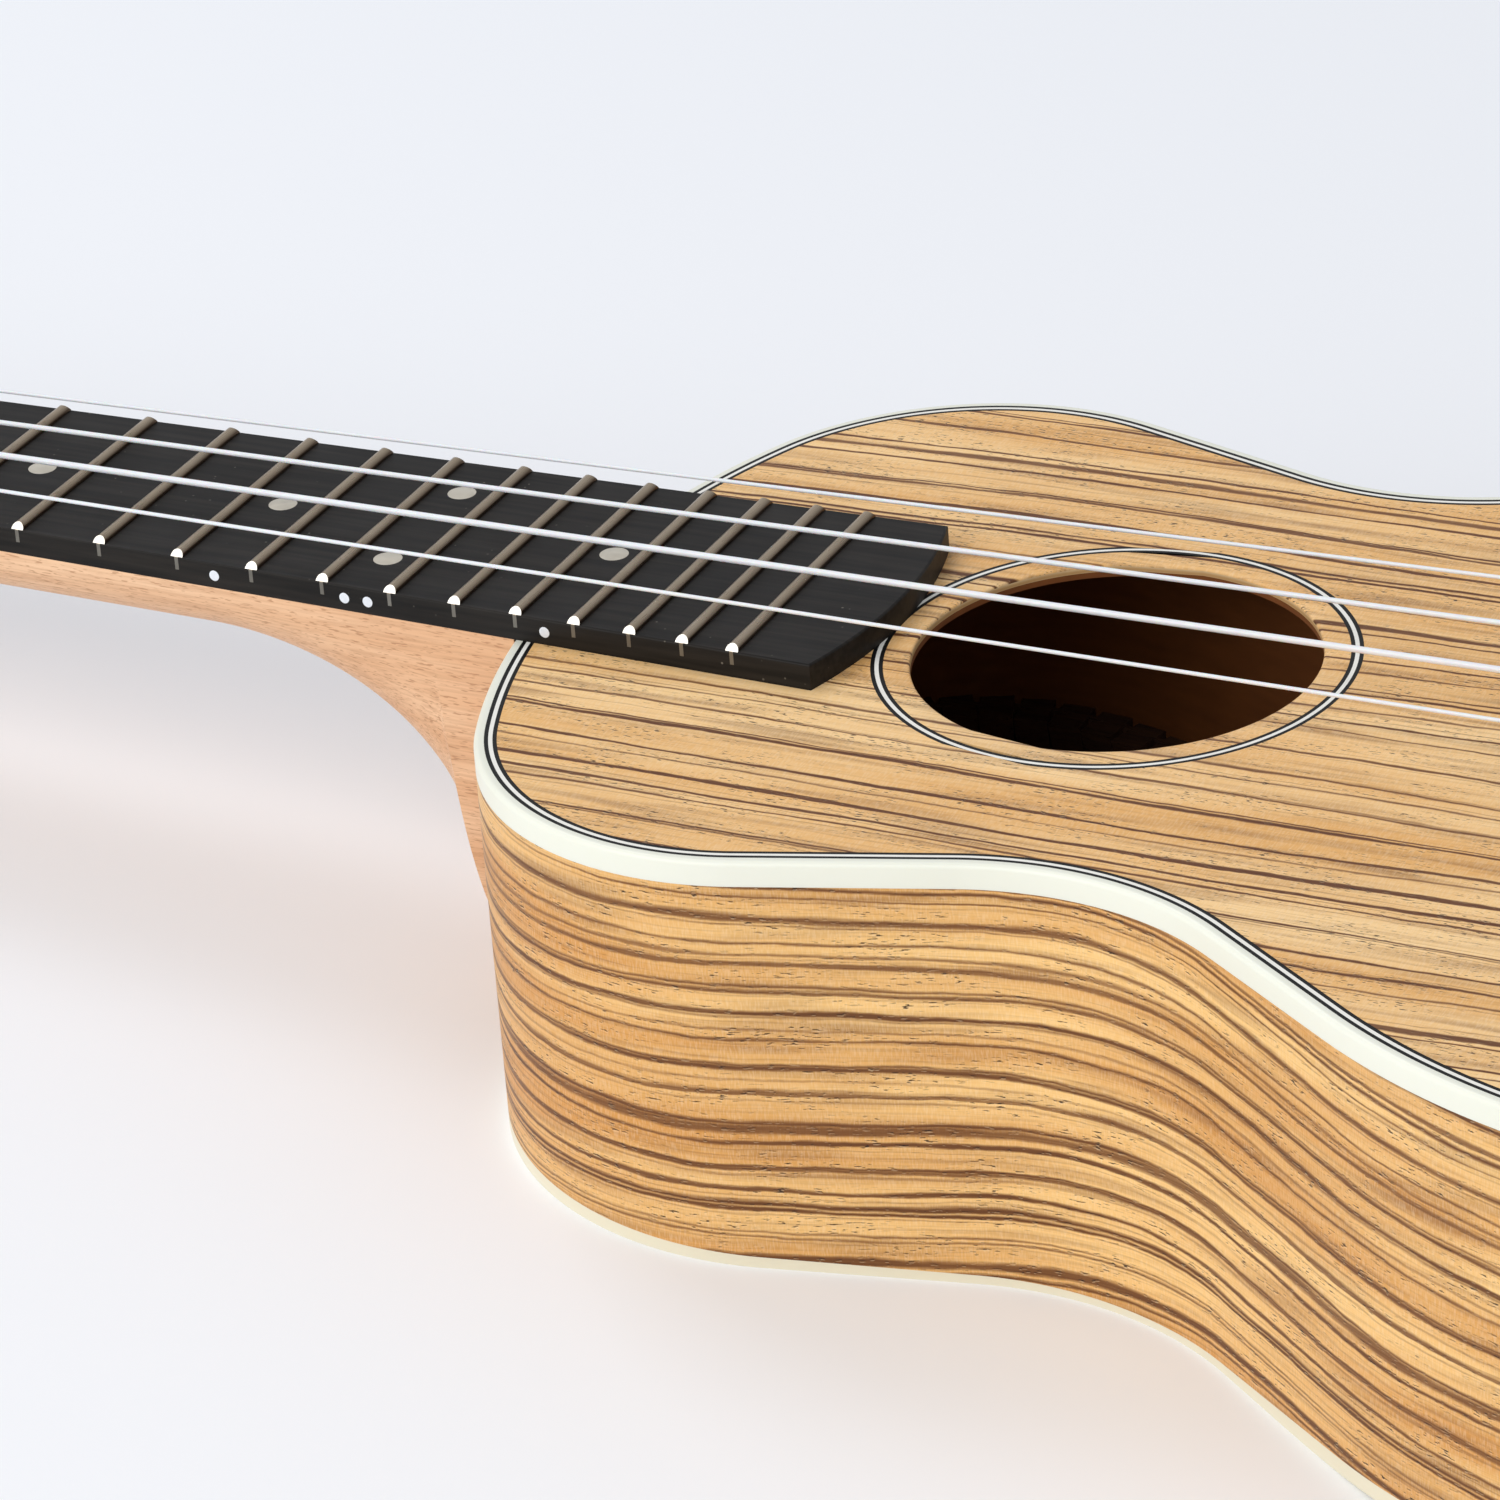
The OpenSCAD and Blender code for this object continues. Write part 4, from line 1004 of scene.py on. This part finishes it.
bars = join(fret_tree, sweep_bar(crown, calc("SUBTRACT", edge_y, inputs["End Inset"])),
            sweep_bar(tang, calc("ADD", edge_y, tang_size[1])))
spot = add(fret_tree, "ShaderNodeSeparateXYZ", {0: put("GeometryNodeInputPosition")}).outputs
above_board = calc("MAXIMUM", calc("SUBTRACT", spot[2], inputs["Board Top"]), 0.0)
inward = calc("MULTIPLY", calc("MULTIPLY", above_board, inputs["End Slope"]),
              calc("MULTIPLY", calc("SIGN", spot[1]), -1.0))
filed = put("GeometryNodeSetPosition", {
    "Geometry": put("GeometryNodeRealizeInstances", {"Geometry": bars}),
    "Offset": put("ShaderNodeCombineXYZ", {1: inward})})
close_tree(fret_tree, filed, fret_metal)

frets = grow("fret_wire", [(0, 0, 0)], [], fret_tree, {
    "Count": 18, "Scale Length": scale_l, "Nut X": nut_front_x,
    "Nut Half Width": half_w(nut_front_x),
    "Widening": (joint_w - nut_w) / 2 / (joint_x - nut_front_x), "Board Top": board_top,
    "Crown": 1 * MM, "Tang": (0.6 * MM, 0.02 * MM, 2 * MM), "End Slope": 0.75,
    "End Inset": 0.15 * MM}, fret_metal)

# the filed slopes are bright fresh metal, and their near-white colour is also a painted
# highlight for the flash they catch in soft light
filed_end_highlight_metal = brushed_metal("filed_fret_ends_painted_highlight", "F2EEE6", "E4DED2", 0.5, (900, 900, 900))
tang_metal = brushed_metal("sawn_tang_ends", "8F8C84", "6E6A62", 0.55, (900, 900, 900))
frets.data.materials.append(filed_end_highlight_metal)
frets.data.materials.append(tang_metal)
for face in frets.data.polygons:
    if abs(face.normal.y) > 0.5:
        face.material_index = 1 if face.center.z > board_top + 0.05 * MM else 2
settle(frets, "nickel_silver", "frets")


# ---------------- position dots
# Discs of pearl let into the board and levelled with it, and pins of white plastic rod in
# its bass edge at the same frets.
pearl = two_tone("mother_of_pearl", ("D4CCBA", "A9A191"), 260.0, 3.0, swirl=1.6,
                 Roughness=0.28, Sheen_Weight=0.2, Coat_Weight=0.3, Coat_Roughness=0.15)
pin_white = two_tone("white_rod_plastic", ("E9EDF2", "D5DBE2"), 1500.0, Roughness=0.4)


def fret_x(n):
    return nut_front_x + scale_l * (1 - 2 ** (-n / 12))


def joined(name, parts):
    """One piece from several finished ones."""
    work = bmesh.new()
    for part in parts:
        work.from_mesh(part.data)
        if part is not parts[0]:
            bpy.data.objects.remove(part)
    work.to_mesh(parts[0].data)
    work.free()
    parts[0].name = name
    return parts[0]


def plug(radius):
    """Profile of a slip let 1.5 mm in, with a barely domed top."""
    return [(0, -1.5 * MM), (radius, -1.5 * MM), (radius, 0.0), (radius - 0.1 * MM, 0.03 * MM),
            (0, 0.04 * MM)]


dot_r, pin_r = 2.15 * MM, 0.85 * MM
dot_pair_y, pin_pair_x = 11.6 * MM, 1.95 * MM
discs, pins = [], []
for fret, beside in ((5, 0), (7, 0), (10, 0), (12, -1), (12, 1), (15, 0)):
    x = (fret_x(fret) + fret_x(fret - 1)) / 2
    discs.append(lathe("dot", plug(dot_r), pearl, Vector((x, beside * dot_pair_y, board_top)),
                       steps=40))
    x += beside * pin_pair_x
    pins.append(lathe("pin", plug(pin_r), pin_white, Vector((x, -half_w(x), top_z + board_t / 2)),
                      axis=Vector((0, -1, 0)), steps=24))
settle(joined("pearl_dots", discs), "pearl", "position_dots")
settle(joined("side_pins", pins), "white_plastic", "side_dots")


# ---------------- nut, bridge and saddle
# Bone nut and saddle, polished, and a rosewood tie bridge glued to the soundboard, oiled.
bone = two_tone("polished_bone", ("F1EBDA", "DFD5BC"), 1.0, 3.0, (1500, 300, 300),
                Roughness=0.28, Subsurface_Weight=0.1, Subsurface_Scale=0.002)
rosewood = straight_wood("oiled_rosewood", "4A2C1E", "2E1A12", "170C08", 3, 3.2, 0.38)
softened("bone_nut", "nut", 0.3, bone, "bone")
softened("tie_bridge", "bridge", 0.6, rosewood, "rosewood", steps=3)
softened("bone_saddle", "saddle", 0.7, bone, "bone", steps=3)


# ---------------- strings
# Clear white nylon monofilament, taut from the posts over the nut and saddle, through the
# holes of the tie block, back over it and tucked under itself.
nylon = two_tone("white_nylon", ("F7F8FA", "E8EAEE"), 500.0, Roughness=0.3,
                 Transmission_Weight=0.12, Subsurface_Weight=0.2, Subsurface_Scale=0.001)


def tube(name, path, radius, material, sides=12):
    """A round bar of that radius through the points of path, closed at both ends."""
    path = [Vector(p) for p in path]
    tangents = []
    for k in range(len(path)):
        before, after = path[max(k - 1, 0)], path[min(k + 1, len(path) - 1)]
        tangents.append((after - before).normalized())
    side = tangents[0].orthogonal().normalized()
    points = []
    for p, t in zip(path, tangents):
        side = (side - t * side.dot(t)).normalized()
        up = t.cross(side)
        points += [p + radius * (math.cos(2 * math.pi * j / sides) * side
                                 + math.sin(2 * math.pi * j / sides) * up) for j in range(sides)]
    return make_piece(name, points, skin(len(path), sides), material, smooth_below=60)


saddle_x = nut_front_x + scale_l
nut_spread, saddle_spread, string_gap = 27.2 * MM, 42.2 * MM, 0.06 * MM
nut_z, saddle_z = 6.2 * MM, 10.2 * MM
string_d = {"g": 0.6 * MM, "c": 1 * MM, "e": 0.8 * MM, "a": 0.6 * MM}
tie_back_x, tie_front_x = saddle_x + 18 * MM, saddle_x + 10 * MM
tie_z, tie_top = 4.7 * MM, 6.4 * MM
row_1, row_gap, post_y, post_r = 42 * MM, 46 * MM, 18.5 * MM, 3 * MM
wind_z, wind_turns = 2.2 * MM, 3


def tuner_frame(i):
    """Local axes of tuner i: the post at the origin, Z out of the face, Y to the button."""
    side = -1 if i <= 2 else 1
    row = row_1 if i in (1, 4) else row_1 + row_gap
    local = head_turn @ Matrix.Translation((-row, side * post_y, 0))
    return local @ Matrix.Rotation(math.pi, 4, "Z") if side < 0 else local


def string_piece(k, letter):
    r = string_d[letter] / 2
    i = k + 1

    def at(x, lift=0.0):
        t = (x - nut_front_x) / scale_l
        y = (nut_spread + (saddle_spread - nut_spread) * t) * (k / 3 - 0.5)
        z = nut_z + (saddle_z - nut_z) * t + r + string_gap
        return Vector((x, y, top_z + z + lift))

    start = tuner_frame(i) @ Vector((
        0.4 * MM * (1 if i > 2 else -1), -(post_r + 3 * r + string_gap), wind_z + 2 * r))
    over_nut, over_saddle = at(nut_end_x - 0.5 * MM), at(saddle_x)
    path = [start, over_nut.lerp(start, 0.02), over_nut, at(nut_front_x)]
    path += [at(nut_front_x + (saddle_x - nut_front_x) * j / 12) for j in range(1, 12)]
    path += [at(saddle_x - 1 * MM), over_saddle]
    y = over_saddle.y
    path += [Vector((saddle_x + dx * MM, y, top_z + z)) for dx, z in (
        (1.7, saddle_z + r - 0.1 * MM), (3.2, saddle_z - 1.5 * MM), (9.0, tie_z + 0.35 * MM),
        (9.6, tie_z), (17.6, tie_z))]
    loop_r = 0.9 * MM + r
    for j in range(9):
        a = math.radians(-90 + 180 * j / 8)
        middle = Vector((tie_back_x + 0.1 * MM, y + 0.12 * j * r, top_z + tie_z + loop_r))
        path.append(middle + Vector((math.cos(a) * loop_r, 0, math.sin(a) * loop_r)))
    over = tie_top + r + string_gap
    path += [Vector((tie_back_x - 0.8 * MM, y + 1.2 * r, top_z + over)),
             Vector((tie_front_x + 0.6 * MM, y + 1.6 * r, top_z + over)),
             Vector((tie_front_x - r - 0.2 * MM, y + 2.4 * r, top_z + over - 0.5 * MM))]
    core = Vector((tie_front_x - 1.4 * MM, y, top_z + tie_z + 0.9 * MM))
    for j in range(14):
        a = math.radians(60 - 34 * j)
        path.append(core + Vector((-0.10 * MM * j, 2.1 * r * math.cos(a), 2.1 * r * math.sin(a))))
    return tube("string_" + letter + "_nylon", path, r, nylon)


for k, letter in enumerate("gcea"):
    settle(string_piece(k, letter), "string_nylon", "string_" + letter)


# ---------------- tuner plates and bushings
# Stamped and chromed steel base plates with ears for the worm, pressed bushings, and pan-head
# screws with a slot; all bright, with soft rounded edges.
chrome = brushed_metal("chrome_plate", "DADBDD", "CFD0D3", 0.16, (500, 500, 500))
softened("bushing_set", "post_bushings", 0.3, chrome, "chrome")
softened("plate_set", "tuner_plates", 0.25, chrome, "chrome")

screw_tree = tree_of("pan_head_screws", {
    "Head": "Float", "Height": "Float", "Slot": "Float", "Shank": "Float", "Length": "Float",
    "Tilt": "Rotation"})
put, calc, *_ = wiring(screw_tree)
inputs = add(screw_tree, "NodeGroupInput").outputs


def lifted(shape, height):
    """The shape moved up by a height."""
    return put("GeometryNodeTransform", {
        "Geometry": shape, "Translation": put("ShaderNodeCombineXYZ", {2: height})})


flat_head = put("GeometryNodeMeshCylinder", {
    "Vertices": 32, "Radius": inputs["Head"], "Depth": inputs["Height"]})
cutter = put("GeometryNodeMeshCube", {"Size": put("ShaderNodeCombineXYZ", {
    0: inputs["Slot"], 1: calc("MULTIPLY", inputs["Head"], 3.0), 2: inputs["Height"]})})
slotted = put("GeometryNodeMeshBoolean", {
    "Mesh 1": flat_head, "Mesh 2": lifted(cutter, calc("MULTIPLY", inputs["Height"], -0.6))},
    operation="DIFFERENCE")
shank = put("GeometryNodeMeshCylinder", {
    "Vertices": 16, "Radius": inputs["Shank"], "Depth": inputs["Length"]})
screw = join(screw_tree, slotted, lifted(shank, calc("MULTIPLY", inputs["Length"], 0.5)))
close_tree(screw_tree, put("GeometryNodeInstanceOnPoints", {
    "Points": put("GeometryNodeMeshToPoints", {0: inputs["Geometry"]}),
    "Instance": screw, "Rotation": inputs["Tilt"]}), chrome)

back_face, plate_t = -12.2 * MM, 1.2 * MM
screw_spots = [tuner_frame(i) @ Vector((x * MM, 0, back_face - plate_t - 0.5 * MM))
               for i in range(1, 5) for x in (-21, 7.2)]
settle(grow("plate_screws", screw_spots, [], screw_tree, {
    "Head": 2.2 * MM, "Height": 1 * MM, "Slot": 0.5 * MM, "Shank": 1.2 * MM,
    "Length": 7.5 * MM, "Tilt": (0, head_tilt, 0)}, chrome, smooth_below=30),
    "chrome", "tuner_screws")


# ---------------- tuners
# Each knob is moulded cream plastic on a steel worm shaft; each post carries a brass gear, a
# pan-head screw and three turns of its string.
brass = brushed_metal("cut_brass", "C9A45C", "B78F48", 0.26, (800, 800, 800))
steel = brushed_metal("turned_steel", "C4C6C9", "B4B6BA", 0.22, (500, 2500, 500))
knob_plastic = two_tone("pearly_knob_plastic", ("F4F1E8", "CFC9BA"), 160.0, 4.0, swirl=2.4,
                        Roughness=0.22, Coat_Weight=0.4, Coat_Roughness=0.08,
                        Subsurface_Weight=0.15, Subsurface_Scale=0.003)

mesh_d, worm_z, shaft_r = 9.9 * MM, -17.4 * MM, 1.5 * MM
worm_l, worm_lead, thread_r = 2.5 * math.pi * MM, math.pi * MM, 2.55 * MM
shaft_low, shaft_high = -6.0 * MM, 24.4 * MM


def worm_piece(i):
    """A steel shaft with a thicker worm and a helical thread, in tuner i's axes."""
    local = tuner_frame(i) @ Matrix.Translation((-mesh_d, 0, worm_z))
    axis = (local.to_3x3() @ Vector((0, 1, 0))).normalized()
    root = 1.95 * MM
    profile = [(0, shaft_low), (shaft_r - 0.2 * MM, shaft_low), (shaft_r, shaft_low + 0.2 * MM),
               (shaft_r, -worm_l / 2), (root, -worm_l / 2 + 0.2 * MM),
               (root, worm_l / 2 - 0.2 * MM), (shaft_r, worm_l / 2), (shaft_r, shaft_high),
               (0, shaft_high)]
    core = lathe("core", profile, steel, local.translation, axis=axis, steps=32)
    turns = worm_l / worm_lead - 0.3
    count = int(turns * 24)
    path = []
    for k in range(count + 1):
        a = 2 * math.pi * turns * (k / count - 0.5) + math.pi
        height = worm_lead * turns * (k / count - 0.5)
        path.append(local @ Vector((thread_r * math.cos(a), height, thread_r * math.sin(a))))
    thread = tube("thread", path, 0.62 * MM, steel, sides=8)
    return joined(f"worm_shaft_{i}", [core, thread])


def winding_piece(i, radius):
    """Three close turns of string round post i."""
    count = wind_turns * 28
    path = []
    for k in range(count + 1):
        a = 2 * math.pi * wind_turns * k / count
        lift = wind_z + radius + 1.95 * radius * (wind_turns - 1) * k / count
        spot = Vector(((post_r + radius) * math.cos(a), (post_r + radius) * math.sin(a), lift))
        path.append(tuner_frame(i) @ spot)
    return tube(f"string_turns_{i}", path, radius, nylon, sides=10)


for i in range(1, 5):
    knob, post = f"tuner_knob_{i}", f"string_post_{i}"
    settle(worm_piece(i), "chrome", f"worm_{i}", body=knob)
    softened(f"knob_{i}", f"button_{i}", 1.7, knob_plastic, "button_plastic", 4, knob)
    softened(f"turned_post_{i}", f"post_{i}", 0.3, chrome, "chrome", 2, post)
    softened(f"brass_gear_{i}", f"gear_{i}", 0.12, brass, "brass", 1, post)
    softened(f"gear_fixing_{i}", f"gear_screw_{i}", 0.35, chrome, "chrome", 2, post)
    settle(winding_piece(i, string_d["gcea"[i - 1]] / 2), "string_nylon", f"winding_{i}",
           body=post)
